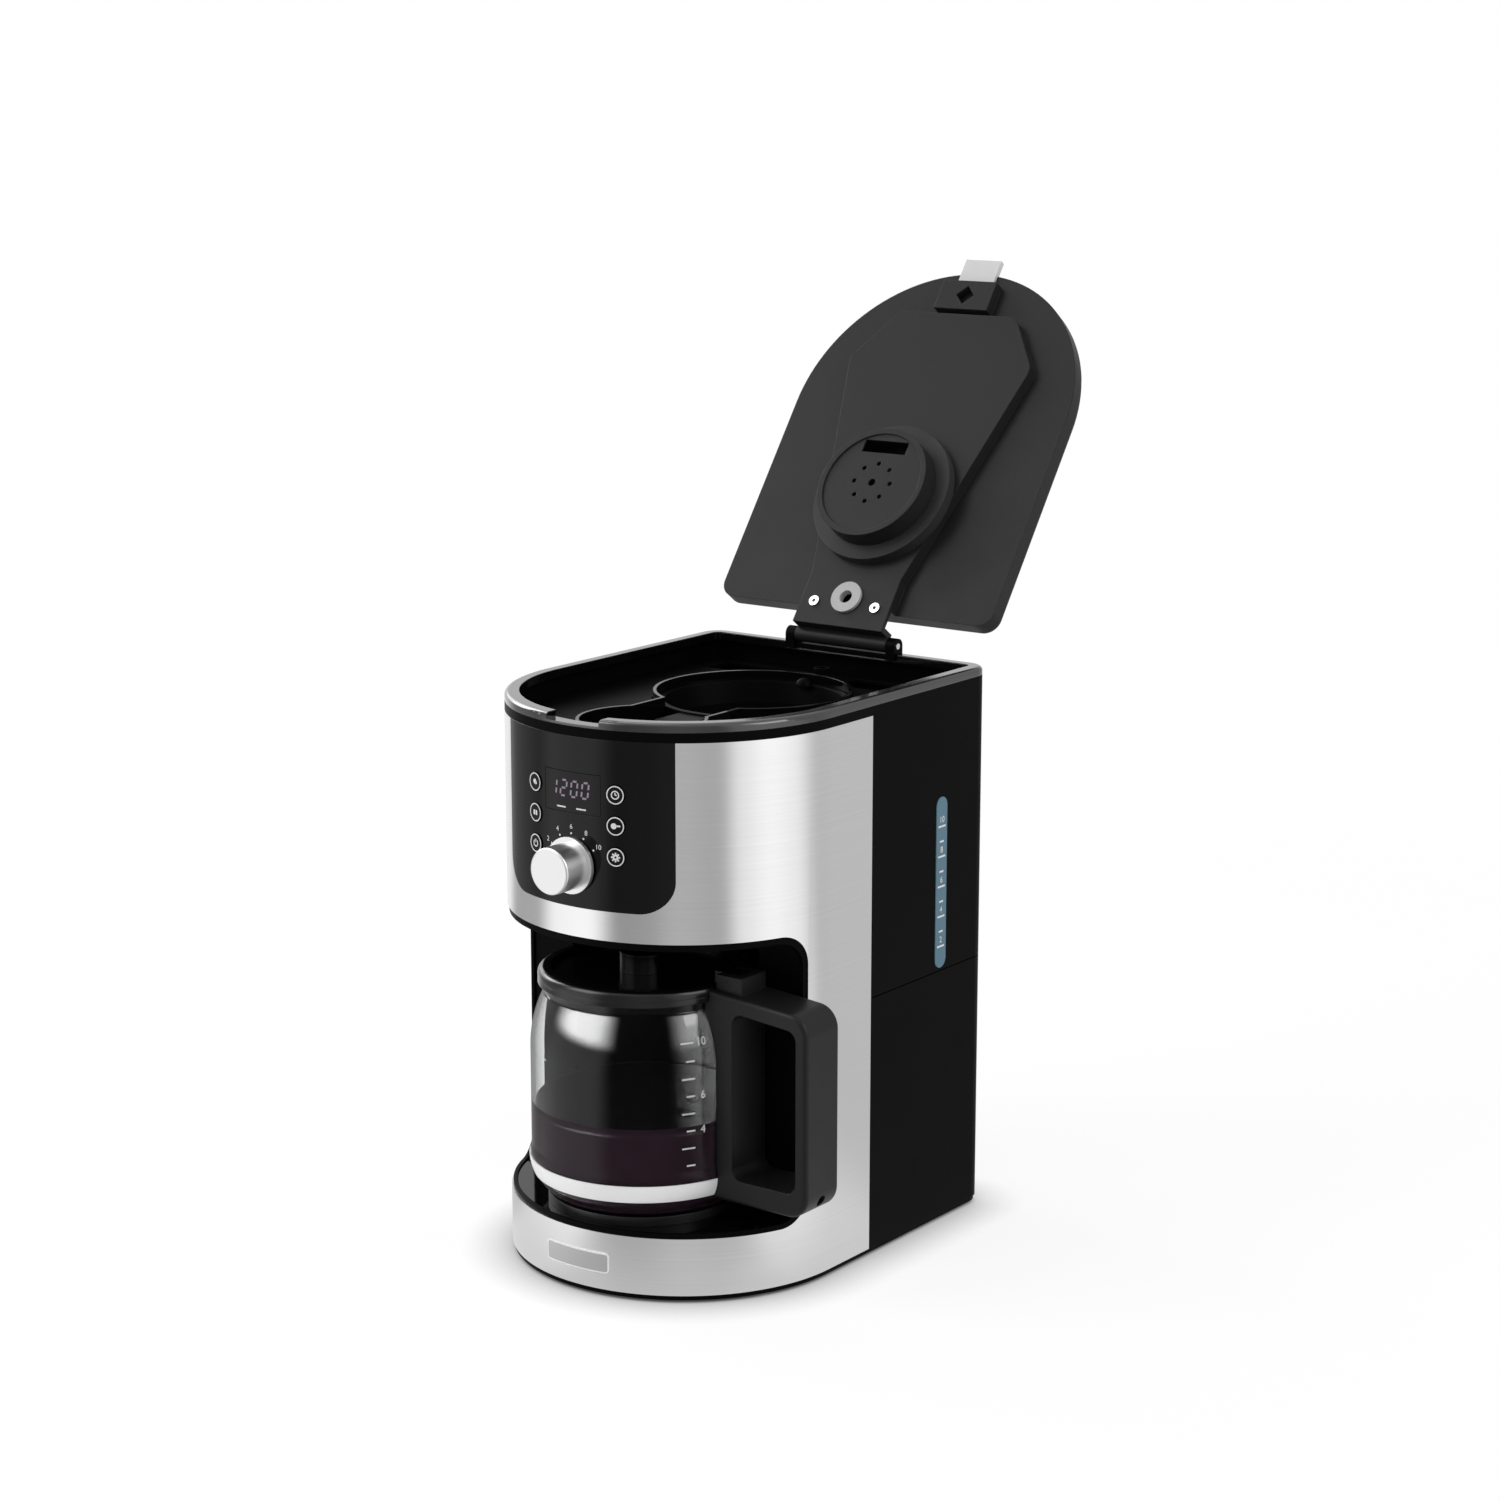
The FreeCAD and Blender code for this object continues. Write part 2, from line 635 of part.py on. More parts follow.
def rubber_feet():
    feet = []
    for x in (-FOOT_X, FOOT_X):
        for y in (FOOT_FRONT_Y, FOOT_REAR_Y):
            foot = rod(FOOT_RADIUS, (x, y, 0), (x, y, FOOT_HEIGHT))
            feet.append(foot)
    return Part.makeCompound(feet)


def base_screws():
    screws = []
    head_top = FOOT_HEIGHT + SCREW_HEAD_HEIGHT
    for x, y in screw_places()["front"] + screw_places()["rear"]:
        head = rod(SCREW_HEAD_RADIUS, (x, y, head_top - SCREW_HEAD_THICKNESS), (x, y, head_top))
        shank = rod(SCREW_RADIUS, (x, y, head_top), (x, y, head_top + SCREW_LENGTH))
        screws.append(joined([head, shank]))
    return Part.makeCompound(screws)


def base_deck():
    plate = outline_block(INNER_INSET, BASE_TOP_Z, DECK_TOP_Z)
    plate = front_half(plate, BAY_REAR_Y)
    return plate.cut(rod(PLATE_RADIUS - PLATE_SEAT, (0, BREW_Y, BASE_TOP_Z), (0, BREW_Y, DECK_TOP_Z)))


def warming_plate():
    disc = rod(PLATE_RADIUS, (0, BREW_Y, DECK_TOP_Z), (0, BREW_Y, PLATE_TOP_Z))
    boss = rod(PLATE_BOSS_RADIUS, (0, BREW_Y, HEATER_TOP_Z), (0, BREW_Y, DECK_TOP_Z))
    return joined([disc, boss])


def heater_tube():
    z = HEATER_TOP_Z - HEATER_TUBE_RADIUS
    front = BREW_Y - HEATER_RING_RADIUS
    leg = HEATER_LEG_X
    points = [(leg, HEATER_END_Y, z), (leg, front, z), (-leg, front, z), (-leg, HEATER_END_Y, z)]
    return swept_tube(points, HEATER_BEND, HEATER_TUBE_RADIUS, WATER_BORE_RADIUS)


# Outer skin
def bay_window():
    return rounded_plate_x(-FAR, BAY_EDGE_Y, BASE_TOP_Z, BAY_TOP_Z, BAY_CORNER_RADIUS)


def panel_notch(grow):
    half = PANEL_HALF_WIDTH + grow
    high = STEEL_TOP_Z + PANEL_CORNER_RADIUS
    block = box((-half, -FAR, PANEL_BOTTOM_Z - grow), (half, FRONT_CENTRE_Y, high))
    lower = [
        edge for edge in block.Edges
        if along(edge, Y_AXIS) and edge.BoundBox.ZMax < STEEL_TOP_Z
    ]
    return block.makeFillet(PANEL_CORNER_RADIUS, lower)


def steel_wrap():
    wall = front_half(outline_wall(0, STEEL_WALL, STEEL_BOTTOM_Z, STEEL_TOP_Z), STEEL_REAR_Y)
    return minus(wall, [bay_window(), panel_notch(0)])


def front_frame():
    wall = outline_wall(STEEL_WALL, FRAME_WALL, STEEL_BOTTOM_Z, RIM_SEAM_Z)
    collar = outline_wall(0, STEEL_WALL, STEEL_TOP_Z, RIM_SEAM_Z)
    shell = front_half(joined([wall, collar]), STEEL_REAR_Y)
    window = rounded_plate_x(
        -FAR, BAY_EDGE_Y - FRAME_LIP, BASE_TOP_Z + FRAME_LIP, CEILING_Z, BAY_CORNER_RADIUS - FRAME_LIP)
    shell = minus(shell, [window, control_opening(0)])
    return minus(joined([shell] + screw_bosses("front")), screw_holes("front"))


def control_opening(shrink):
    half = PANEL_HALF_WIDTH - PANEL_FLANGE - shrink
    low = PANEL_BOTTOM_Z + PANEL_FLANGE + shrink
    return box((-half, -FAR, low), (half, FRONT_CENTRE_Y, STEEL_TOP_Z - PANEL_FLANGE - shrink))


def rear_wall(low, high):
    return rear_half(outline_wall(0, HOUSING_WALL, low, high), STEEL_REAR_Y)


def stadium_x(x_low, x_high, width, low, high):
    block = box((x_low, GAUGE_Y - width / 2, low), (x_high, GAUGE_Y + width / 2, high))
    return rounded_edges(block, width / 2 - TOLERANCE, lambda edge: along(edge, X_AXIS))


def rear_upper_housing():
    wall = rear_wall(HOUSING_SEAM_Z + HOUSING_SEAM_GAP / 2, RIM_SEAM_Z)
    slot_width = GAUGE_WIDTH + 2 * FIT_GAP
    slot_inside = HALF_WIDTH - 2 * HOUSING_WALL
    slot = stadium_x(slot_inside, FAR, slot_width, GAUGE_BOTTOM_Z - FIT_GAP, GAUGE_TOP_Z + FIT_GAP)
    return wall.cut(slot)


def rear_lower_cover():
    wall = rear_wall(STEEL_BOTTOM_Z, HOUSING_SEAM_Z - HOUSING_SEAM_GAP / 2)
    inlet = rod(CORD_INLET_RADIUS, (CORD_INLET_X, 0, CORD_INLET_Z), (CORD_INLET_X, FAR, CORD_INLET_Z))
    return minus(joined([wall.cut(inlet)] + screw_bosses("rear")), screw_holes("rear"))


def gauge_window():
    outer = HALF_WIDTH + GAUGE_PROUD
    return stadium_x(outer - GAUGE_THICKNESS, outer, GAUGE_WIDTH, GAUGE_BOTTOM_Z, GAUGE_TOP_Z)


def cord_gland():
    x, z = CORD_INLET_X, CORD_INLET_Z
    inside = HALF_DEPTH - HOUSING_WALL - CORD_FLANGE
    sleeve = rod(CORD_INLET_RADIUS, (x, inside, z), (x, HALF_DEPTH, z))
    flange = rod(CORD_INLET_RADIUS + CORD_FLANGE, (x, inside, z), (x, inside + CORD_FLANGE, z))
    bore = rod(CORD_BORE_RADIUS, (x, inside, z), (x, HALF_DEPTH, z))
    return joined([sleeve, flange]).cut(bore)


def top_rim():
    ring_body = outline_wall(0, RIM_WIDTH, RIM_SEAM_Z, RIM_TOP_Z)
    half_outer = HALF_WIDTH - RIM_WIDTH / 2
    top_outer = [
        edge for edge in ring_body.Edges
        if edge.BoundBox.ZMin > RIM_TOP_Z - TOLERANCE and outer_edge(edge, half_outer)
    ]
    ring_body = ring_body.makeFillet(RIM_ROUND, top_outer)
    front_notch = box((-NOTCH_HALF_WIDTH, -FAR, NOTCH_FLOOR_Z), (NOTCH_HALF_WIDTH, FRONT_CENTRE_Y, FAR))
    hinge_half = HINGE_HALF_WIDTH + HINGE_EAR_WIDTH + FIT_GAP
    rear_notch = box((-hinge_half, 0, HINGE_SEAT_Z), (hinge_half, FAR, FAR))
    return minus(ring_body, [front_notch, rear_notch])


def outer_edge(edge, half_outer):
    """True for an edge of the body's outer outline rather than the ring's inner one."""
    point = edge.valueAt((edge.FirstParameter + edge.LastParameter) / 2)
    if point.y < FRONT_CENTRE_Y:
        return math.hypot(point.x, point.y - FRONT_CENTRE_Y) > half_outer
    return abs(point.x) > half_outer or point.y > HALF_DEPTH - RIM_WIDTH / 2


# Carafe bay
def bay_liner():
    low, high = DECK_TOP_Z, CEILING_Z
    outer = BAY_RADIUS + BAY_WALL
    wing_front = BAY_EDGE_Y - FRAME_LIP + BAY_WALL / 2
    drum = rod(outer, (0, BREW_Y, low), (0, BREW_Y, high))
    drum = rear_half(drum, wing_front)
    wings = outline_block(INNER_INSET, low, high).common(
        box((-FAR, wing_front, low), (FAR, wing_front + BAY_WALL, high)))
    hollow = rod(BAY_RADIUS, (0, BREW_Y, low), (0, BREW_Y, high))
    return joined([drum, wings]).cut(hollow)


def bay_ceiling():
    plate = front_half(outline_block(INNER_INSET, CEILING_Z, CEILING_Z + CEILING_THICKNESS), BAY_REAR_Y)
    return plate.cut(rod(VALVE_BOSS_RADIUS + VALVE_HOLE_GAP, (0, BREW_Y, 0), (0, BREW_Y, FAR)))


# Controls
def button_shapes(grow, front, back):
    return {
        (row, side): rod(
            BUTTON_RADIUS + grow,
            radial(side * BUTTON_ANGLE, HALF_WIDTH + front, z),
            radial(side * BUTTON_ANGLE, HALF_WIDTH - back, z))
        for row, z in enumerate(BUTTON_ROWS_Z) for side in (-1, 1)
    }


def display_block(grow):
    half = DISPLAY_HALF_WIDTH + grow
    return box((-half, -FAR, DISPLAY_BOTTOM_Z - grow), (half, FRONT_CENTRE_Y, DISPLAY_TOP_Z + grow))


def control_panel():
    face = outline_wall(0, STEEL_WALL, PANEL_BOTTOM_Z, STEEL_TOP_Z).common(panel_notch(-FIT_GAP))
    back = outline_wall(STEEL_WALL, FRAME_WALL, PANEL_BOTTOM_Z, STEEL_TOP_Z).common(control_opening(FIT_GAP))
    posts = []
    for x in (-BOARD_POST_X, BOARD_POST_X):
        for z in (BOARD_POST_LOW_Z, BOARD_POST_HIGH_Z):
            depth = FRONT_CENTRE_Y - math.sqrt((HALF_WIDTH - STEEL_WALL - FRAME_WALL / 2) ** 2 - x ** 2)
            posts.append(rod(BOARD_POST_RADIUS, (x, depth, z), (x, BOARD_Y, z)))
    panel = joined([face, back] + posts)
    stem = rod(KNOB_STEM_RADIUS + FIT_GAP, (0, -FAR, KNOB_Z), (0, FRONT_CENTRE_Y, KNOB_Z))
    buttons = button_shapes(FIT_GAP, BUTTON_DEPTH, 2 * BUTTON_DEPTH)
    return minus(panel, [stem, display_block(0)] + list(buttons.values()))


def display_lens():
    return outline_wall(0, PANEL_WALL, DISPLAY_BOTTOM_Z, DISPLAY_TOP_Z).common(display_block(-FIT_GAP))


def control_board():
    half = BOARD_HALF_WIDTH
    board = box((-half, BOARD_Y, BOARD_LOW_Z), (half, BOARD_Y + BOARD_THICKNESS, BOARD_HIGH_Z))
    parts = [board]
    back = HALF_WIDTH - BUTTON_DEPTH - BUTTON_TRAVEL - FIT_GAP
    for z in BUTTON_ROWS_Z:
        for side in (-1, 1):
            tip = radial(side * BUTTON_ANGLE, back, z)
            turn = math.cos(math.radians(BUTTON_ANGLE))
            foot = radial(side * BUTTON_ANGLE, back - (BOARD_Y + BOARD_THICKNESS / 2 - tip[1]) / turn, z)
            parts.append(rod(SWITCH_RADIUS, tip, foot))
    lens_back = FRONT_CENTRE_Y - HALF_WIDTH + PANEL_WALL + DISPLAY_SAG
    module_half = DISPLAY_HALF_WIDTH - DISPLAY_MARGIN
    parts.append(box((-module_half, lens_back, DISPLAY_BOTTOM_Z + DISPLAY_MARGIN),
                     (module_half, BOARD_Y + BOARD_THICKNESS / 2, DISPLAY_TOP_Z - DISPLAY_MARGIN)))
    return joined(parts)


def knob_encoder():
    front = BOARD_Y - ENCODER_LENGTH
    body = rod(ENCODER_RADIUS, (0, front, KNOB_Z), (0, BOARD_Y, KNOB_Z))
    bore = rod(KNOB_STEM_RADIUS + STEM_CLEARANCE, (0, front, KNOB_Z), (0, BOARD_Y - FIT_GAP, KNOB_Z))
    return body.cut(bore)


def knob():
    seat = FRONT_CENTRE_Y - HALF_WIDTH - FIT_GAP
    face = seat - KNOB_LENGTH
    flange = rod(KNOB_FLANGE_RADIUS, (0, seat, KNOB_Z), (0, seat - KNOB_FLANGE_THICKNESS, KNOB_Z))
    barrel = rod(KNOB_BARREL_RADIUS, (0, seat, KNOB_Z), (0, face, KNOB_Z))
    barrel = rounded_edges(barrel, KNOB_EDGE_ROUND, lambda edge: edge.BoundBox.YMax < face + TOLERANCE)
    stem = rod(KNOB_STEM_RADIUS, (0, seat, KNOB_Z), (0, BOARD_Y - 2 * FIT_GAP, KNOB_Z))
    return joined([flange, barrel, stem])


# Brew well
def top_deck():
    plate = outline_block(INNER_INSET, DECK_Z, DECK_Z + DECK_THICKNESS)
    holes = [two_chamber_block(WELL_UPPER, DECK_Z, DECK_Z + DECK_THICKNESS)]
    holes.append(rod(SPOUT_RADIUS + FIT_GAP, (0, SPOUT_Y, 0), (0, SPOUT_Y, FAR)))
    for side in (-1, 1):
        low_x, high_x = sorted((side * FILL_INNER_X, side * FILL_OUTER_X))
        holes.append(box((low_x, FILL_FRONT_Y, 0), (high_x, FILL_REAR_Y, FAR)))
    return minus(plate, holes)


def brew_well():
    ledge = BASKET_RIM_TOP_Z - BASKET_RIM_HEIGHT - FIT_GAP
    floor = BASKET_BOTTOM_Z - WELL_GAP - WELL_FLOOR
    lower = two_chamber_block(WELL_LOWER + WELL_WALL, floor, ledge)
    upper = two_chamber_block(WELL_UPPER + WELL_WALL, ledge - WELL_WALL, DECK_Z)
    hollow_low = two_chamber_block(WELL_LOWER, floor + WELL_FLOOR, FAR)
    hollow_high = two_chamber_block(WELL_UPPER, ledge, FAR)
    valve_hole = rod(VALVE_BOSS_RADIUS + VALVE_HOLE_GAP, (0, BREW_Y, 0), (0, BREW_Y, FAR))
    drive_hole = rod(COLLAR_RADIUS + COLLAR_GAP, (0, CHAMBER_Y, 0), (0, CHAMBER_Y, FAR))
    return minus(joined([lower, upper]), [hollow_low, hollow_high, valve_hole, drive_hole])


# Water path
def tank_block(inset, low, high, wall):
    block = rear_half(outline_block(inset, low, high), TANK_FRONT_Y + wall)
    curve = REAR_CHAMBER_RADIUS + WELL_UPPER + WELL_WALL + TANK_WELL_GAP + wall
    half = PIPE_CHANNEL_HALF + wall
    return minus(block, [
        rod(curve, (0, CHAMBER_Y, low), (0, CHAMBER_Y, high)),
        box((-half, 0, low), (half, SPOUT_Y + PIPE_CHANNEL_HALF + wall, high)),
    ])


def water_tank():
    inset = HOUSING_WALL + TANK_SIDE_GAP
    outer = tank_block(inset, TANK_BOTTOM_Z, DECK_Z, 0)
    inner = tank_block(inset + TANK_WALL, TANK_BOTTOM_Z + TANK_WALL, FAR, TANK_WALL)
    outlet = rod(WATER_BORE_RADIUS, (HEATER_LEG_X, VALVE_Y, 0), (HEATER_LEG_X, VALVE_Y, FAR))
    return minus(outer, [inner, outlet])


def check_valve():
    x, y = HEATER_LEG_X, VALVE_Y
    low = TANK_BOTTOM_Z - CHECK_VALVE_LENGTH
    return ring(CHECK_VALVE_RADIUS, WATER_BORE_RADIUS, x, y, low, TANK_BOTTOM_Z)


def inlet_hose():
    z = HEATER_TOP_Z - HEATER_TUBE_RADIUS
    x = HEATER_LEG_X
    top = TANK_BOTTOM_Z - CHECK_VALVE_LENGTH
    points = [(x, HEATER_END_Y, z), (x, VALVE_Y, z), (x, VALVE_Y, top)]
    return swept_tube(points, HOSE_BEND, HOSE_RADIUS, WATER_BORE_RADIUS)


def riser_tube():
    z = HEATER_TOP_Z - HEATER_TUBE_RADIUS
    x = -HEATER_LEG_X
    points = [(x, HEATER_END_Y, z), (x, SPOUT_Y, z), (0, SPOUT_Y, z), (0, SPOUT_Y, DECK_Z)]
    return swept_tube(points, HOSE_BEND, HOSE_RADIUS, WATER_BORE_RADIUS)


def outlet_spout():
    seat = DECK_Z + DECK_THICKNESS
    pipe = rod(SPOUT_RADIUS, (0, SPOUT_Y, DECK_Z), (0, SPOUT_Y, SPOUT_TOP_Z))
    flange = rod(SPOUT_HEAD_RADIUS, (0, SPOUT_Y, seat), (0, SPOUT_Y, seat + SPOUT_FLANGE))
    return joined([pipe, flange]).cut(rod(WATER_BORE_RADIUS, (0, SPOUT_Y, DECK_Z), (0, SPOUT_Y, SPOUT_TOP_Z)))


# Grinder drive
def grinder_motor():
    can = rod(MOTOR_RADIUS, (0, CHAMBER_Y, MOTOR_BOTTOM_Z), (0, CHAMBER_Y, MOUNT_PLATE_Z))
    return can.cut(rod(SHAFT_RADIUS + RUNNING_CLEARANCE,
                       (0, CHAMBER_Y, MOUNT_PLATE_Z - SHAFT_DEPTH), (0, CHAMBER_Y, MOUNT_PLATE_Z)))


def motor_mount():
    inner = COLLAR_RADIUS + COLLAR_GAP
    outer = inner + MOUNT_WALL
    high = BASKET_BOTTOM_Z - WELL_GAP - WELL_FLOOR
    cup = rod(outer, (0, CHAMBER_Y, MOUNT_PLATE_Z), (0, CHAMBER_Y, high))
    hollow = rod(inner, (0, CHAMBER_Y, MOUNT_PLATE_Z + MOUNT_PLATE_THICKNESS), (0, CHAMBER_Y, high))
    shaft_hole = rod(SHAFT_RADIUS + FIT_GAP, (0, CHAMBER_Y, 0), (0, CHAMBER_Y, FAR))
    return minus(cup, [hollow, shaft_hole])


def drive_coupling():
    low = MOUNT_PLATE_Z + MOUNT_PLATE_THICKNESS + COUPLING_GAP
    top = low + COUPLING_HEIGHT
    cup = rod(COUPLING_RADIUS, (0, CHAMBER_Y, low), (0, CHAMBER_Y, top))
    shaft = rod(SHAFT_RADIUS, (0, CHAMBER_Y, MOUNT_PLATE_Z - SHAFT_DEPTH + FIT_GAP), (0, CHAMBER_Y, low))
    socket = hex_block(HEX_RADIUS + HEX_CLEARANCE, 0, CHAMBER_Y, top - HEX_DEPTH, top)
    return joined([cup, shaft]).cut(socket)


# Lid, in its closed position
def lid_shell():
    top = LID_BOTTOM_Z + LID_HEIGHT
    cap = outline_block(LID_INSET, LID_BOTTOM_Z, top, LID_REAR_Y)
    cap = rounded_edges(cap, LID_EDGE_ROUND, lambda edge: edge.BoundBox.ZMin > top - TOLERANCE)
    hollow = outline_block(LID_INSET + LID_WALL, 0, top - LID_WALL, LID_REAR_Y - LID_WALL)
    return opened(cap.cut(hollow))


def cover_block(shrink, low, high):
    """Raised middle of the lid's inner cover, wide at the front and narrow at the hinge."""
    rear_half_width = STRIP_HALF_WIDTH - shrink
    front_half_width = COVER_FRONT_HALF - shrink
    nose_half = COVER_NOSE_HALF - shrink
    outline = [
        (rear_half_width, LID_REAR_Y - shrink),
        (rear_half_width, COVER_NARROW_Y),
        (front_half_width, COVER_SHOULDER_Y),
        (nose_half, COVER_FRONT_Y + shrink),
    ]
    points = [V(x, y, low) for x, y in outline] + [V(-x, y, low) for x, y in reversed(outline)]
    block = Part.Face(Part.makePolygon(points + points[:1])).extrude(V(0, 0, high - low))
    return rounded_edges(
        block, COVER_CORNER, lambda edge: along(edge, Z_AXIS) and edge.CenterOfMass.y < CHAMBER_Y)


def hinge_line(radius, half):
    return rod(radius, (-half, HINGE_Y, HINGE_Z), (half, HINGE_Y, HINGE_Z))


def pull_tab_block(gap):
    low = LID_BOTTOM_Z - TAB_THICKNESS
    nose = FRONT_CENTRE_Y - HALF_WIDTH + LID_INSET
    half = TAB_HALF_WIDTH + gap
    return box((-half, nose - TAB_REACH, low), (half, nose + TAB_ROOT + gap, LID_BOTTOM_Z))


def lid_inner_cover():
    plate_low = LID_BOTTOM_Z - LID_PLATE
    plate = outline_block(LID_INSET, plate_low, LID_BOTTOM_Z, LID_REAR_Y)
    raised = cover_block(0, COVER_BOTTOM_Z, plate_low)
    strip_half = STRIP_HALF_WIDTH
    strip_top = COVER_BOTTOM_Z + COVER_THICKNESS
    wall_rear = HALF_DEPTH - RIM_WIDTH - FIT_GAP
    strip_front = LID_REAR_Y - COVER_THICKNESS
    strip = box((-strip_half, strip_front, COVER_BOTTOM_Z), (strip_half, wall_rear, strip_top))
    wall = box((-strip_half, wall_rear - HINGE_WALL, COVER_BOTTOM_Z), (strip_half, wall_rear, HINGE_Z))
    block_rear = BLOCK_FRONT_Y + BLOCK_LENGTH
    block = box((-BLOCK_HALF_WIDTH, BLOCK_FRONT_Y, COVER_BOTTOM_Z), (BLOCK_HALF_WIDTH, block_rear, plate_low))
    barrel = hinge_line(HINGE_BARREL_RADIUS, HINGE_HALF_WIDTH)
    cover = joined([plate, raised, strip, wall, block, barrel])
    diamond_y = BLOCK_FRONT_Y + BLOCK_LENGTH / 2
    diamond = Part.Face(Part.makePolygon([
        V(DIAMOND_HALF, diamond_y, 0), V(0, diamond_y + DIAMOND_HALF, 0),
        V(-DIAMOND_HALF, diamond_y, 0), V(0, diamond_y - DIAMOND_HALF, 0), V(DIAMOND_HALF, diamond_y, 0),
    ])).extrude(V(0, 0, plate_low - LID_PLATE))
    cuts = [
        cover_block(COVER_THICKNESS, strip_top, FAR),
        diamond,
        pull_tab_block(FIT_GAP),
        hinge_line(HINGE_PIN_RADIUS + RUNNING_CLEARANCE, HINGE_HALF_WIDTH),
        rod(GROMMET_NECK, (0, SPOUT_Y, 0), (0, SPOUT_Y, FAR)),
    ]
    for x in (-LID_SCREW_X, LID_SCREW_X):
        cuts.append(rod(SCREW_RADIUS, (x, LID_SCREW_Y, 0), (x, LID_SCREW_Y, strip_top)))
    return opened(minus(cover, cuts))


def shower_head():
    low = COVER_BOTTOM_Z - SHOWER_DEPTH
    cup = rod(SHOWER_RADIUS, (0, CHAMBER_Y, low), (0, CHAMBER_Y, COVER_BOTTOM_Z))
    inside = SHOWER_RADIUS - SHOWER_WALL
    hollow = rod(inside, (0, CHAMBER_Y, low + SHOWER_WALL), (0, CHAMBER_Y, COVER_BOTTOM_Z))
    dish = rod(SHOWER_RADIUS - SHOWER_LIP, (0, CHAMBER_Y, low), (0, CHAMBER_Y, low + SHOWER_WALL / 2))
    slot_y = CHAMBER_Y - SHOWER_SLOT_OFFSET
    slot = box((-SHOWER_SLOT_HALF, slot_y, 0), (SHOWER_SLOT_HALF, slot_y + SHOWER_SLOT_WIDTH, FAR))
    cuts = [hollow, dish, slot]
    for i in range(SHOWER_HOLES):
        turn = 2 * math.pi * i / SHOWER_HOLES
        x = SHOWER_HOLE_CIRCLE * math.cos(turn)
        y = CHAMBER_Y + SHOWER_HOLE_CIRCLE * math.sin(turn)
        cuts.append(rod(SHOWER_HOLE_RADIUS, (x, y, 0), (x, y, FAR)))
    cuts.append(rod(SHOWER_CENTRE_RADIUS, (0, CHAMBER_Y, 0), (0, CHAMBER_Y, FAR)))
    return opened(minus(cup, cuts))


def steam_seal():
    low = COVER_BOTTOM_Z - SHOWER_STEP_DEPTH
    return opened(ring(SHOWER_STEP_RADIUS, SHOWER_RADIUS, 0, CHAMBER_Y, low, COVER_BOTTOM_Z))


def lid_grommet():
    low = SPOUT_TOP_Z + FIT_GAP
    flange = rod(GROMMET_RADIUS, (0, SPOUT_Y, low), (0, SPOUT_Y, COVER_BOTTOM_Z))
    neck = rod(GROMMET_NECK, (0, SPOUT_Y, COVER_BOTTOM_Z), (0, SPOUT_Y, COVER_BOTTOM_Z + COVER_THICKNESS))
    bore = rod(GROMMET_BORE, (0, SPOUT_Y, 0), (0, SPOUT_Y, FAR))
    return opened(joined([flange, neck]).cut(bore))


def lid_screws():
    screws = []
    for x in (-LID_SCREW_X, LID_SCREW_X):
        head_low = COVER_BOTTOM_Z - SCREW_HEAD_THICKNESS
        head = rod(SCREW_HEAD_RADIUS, (x, LID_SCREW_Y, head_low), (x, LID_SCREW_Y, COVER_BOTTOM_Z))
        tip = COVER_BOTTOM_Z + COVER_THICKNESS
        shank = rod(SCREW_RADIUS, (x, LID_SCREW_Y, head_low), (x, LID_SCREW_Y, tip))
        screws.append(opened(joined([head, shank])))
    return Part.makeCompound(screws)


def lid_pull_tab():
    return opened(pull_tab_block(0))


def hinge_bracket():
    ears = []
    for side in (-1, 1):
        ear_inside = side * (HINGE_HALF_WIDTH + FIT_GAP)
        ear_outside = side * (HINGE_HALF_WIDTH + HINGE_EAR_WIDTH)
        low_x, high_x = sorted((ear_inside, ear_outside))
        half = HINGE_BARREL_RADIUS
        ear = box((low_x, HINGE_Y - half, HINGE_SEAT_Z), (high_x, HINGE_Y + half, HINGE_Z))
        round_top = rod(half, (low_x, HINGE_Y, HINGE_Z), (high_x, HINGE_Y, HINGE_Z))
        ears.append(joined([ear, round_top]))
    half = HINGE_HALF_WIDTH + HINGE_EAR_WIDTH
    foot_high = HINGE_Z - HINGE_BARREL_RADIUS - 2 * FIT_GAP
    foot = box((-half, HINGE_Y - HINGE_FOOT, HINGE_SEAT_Z), (half, HINGE_Y + HINGE_BARREL_RADIUS, foot_high))
    return joined(ears + [foot]).cut(hinge_line(HINGE_PIN_RADIUS, half))


def hinge_pin():
    return hinge_line(HINGE_PIN_RADIUS, HINGE_HALF_WIDTH + HINGE_EAR_WIDTH)


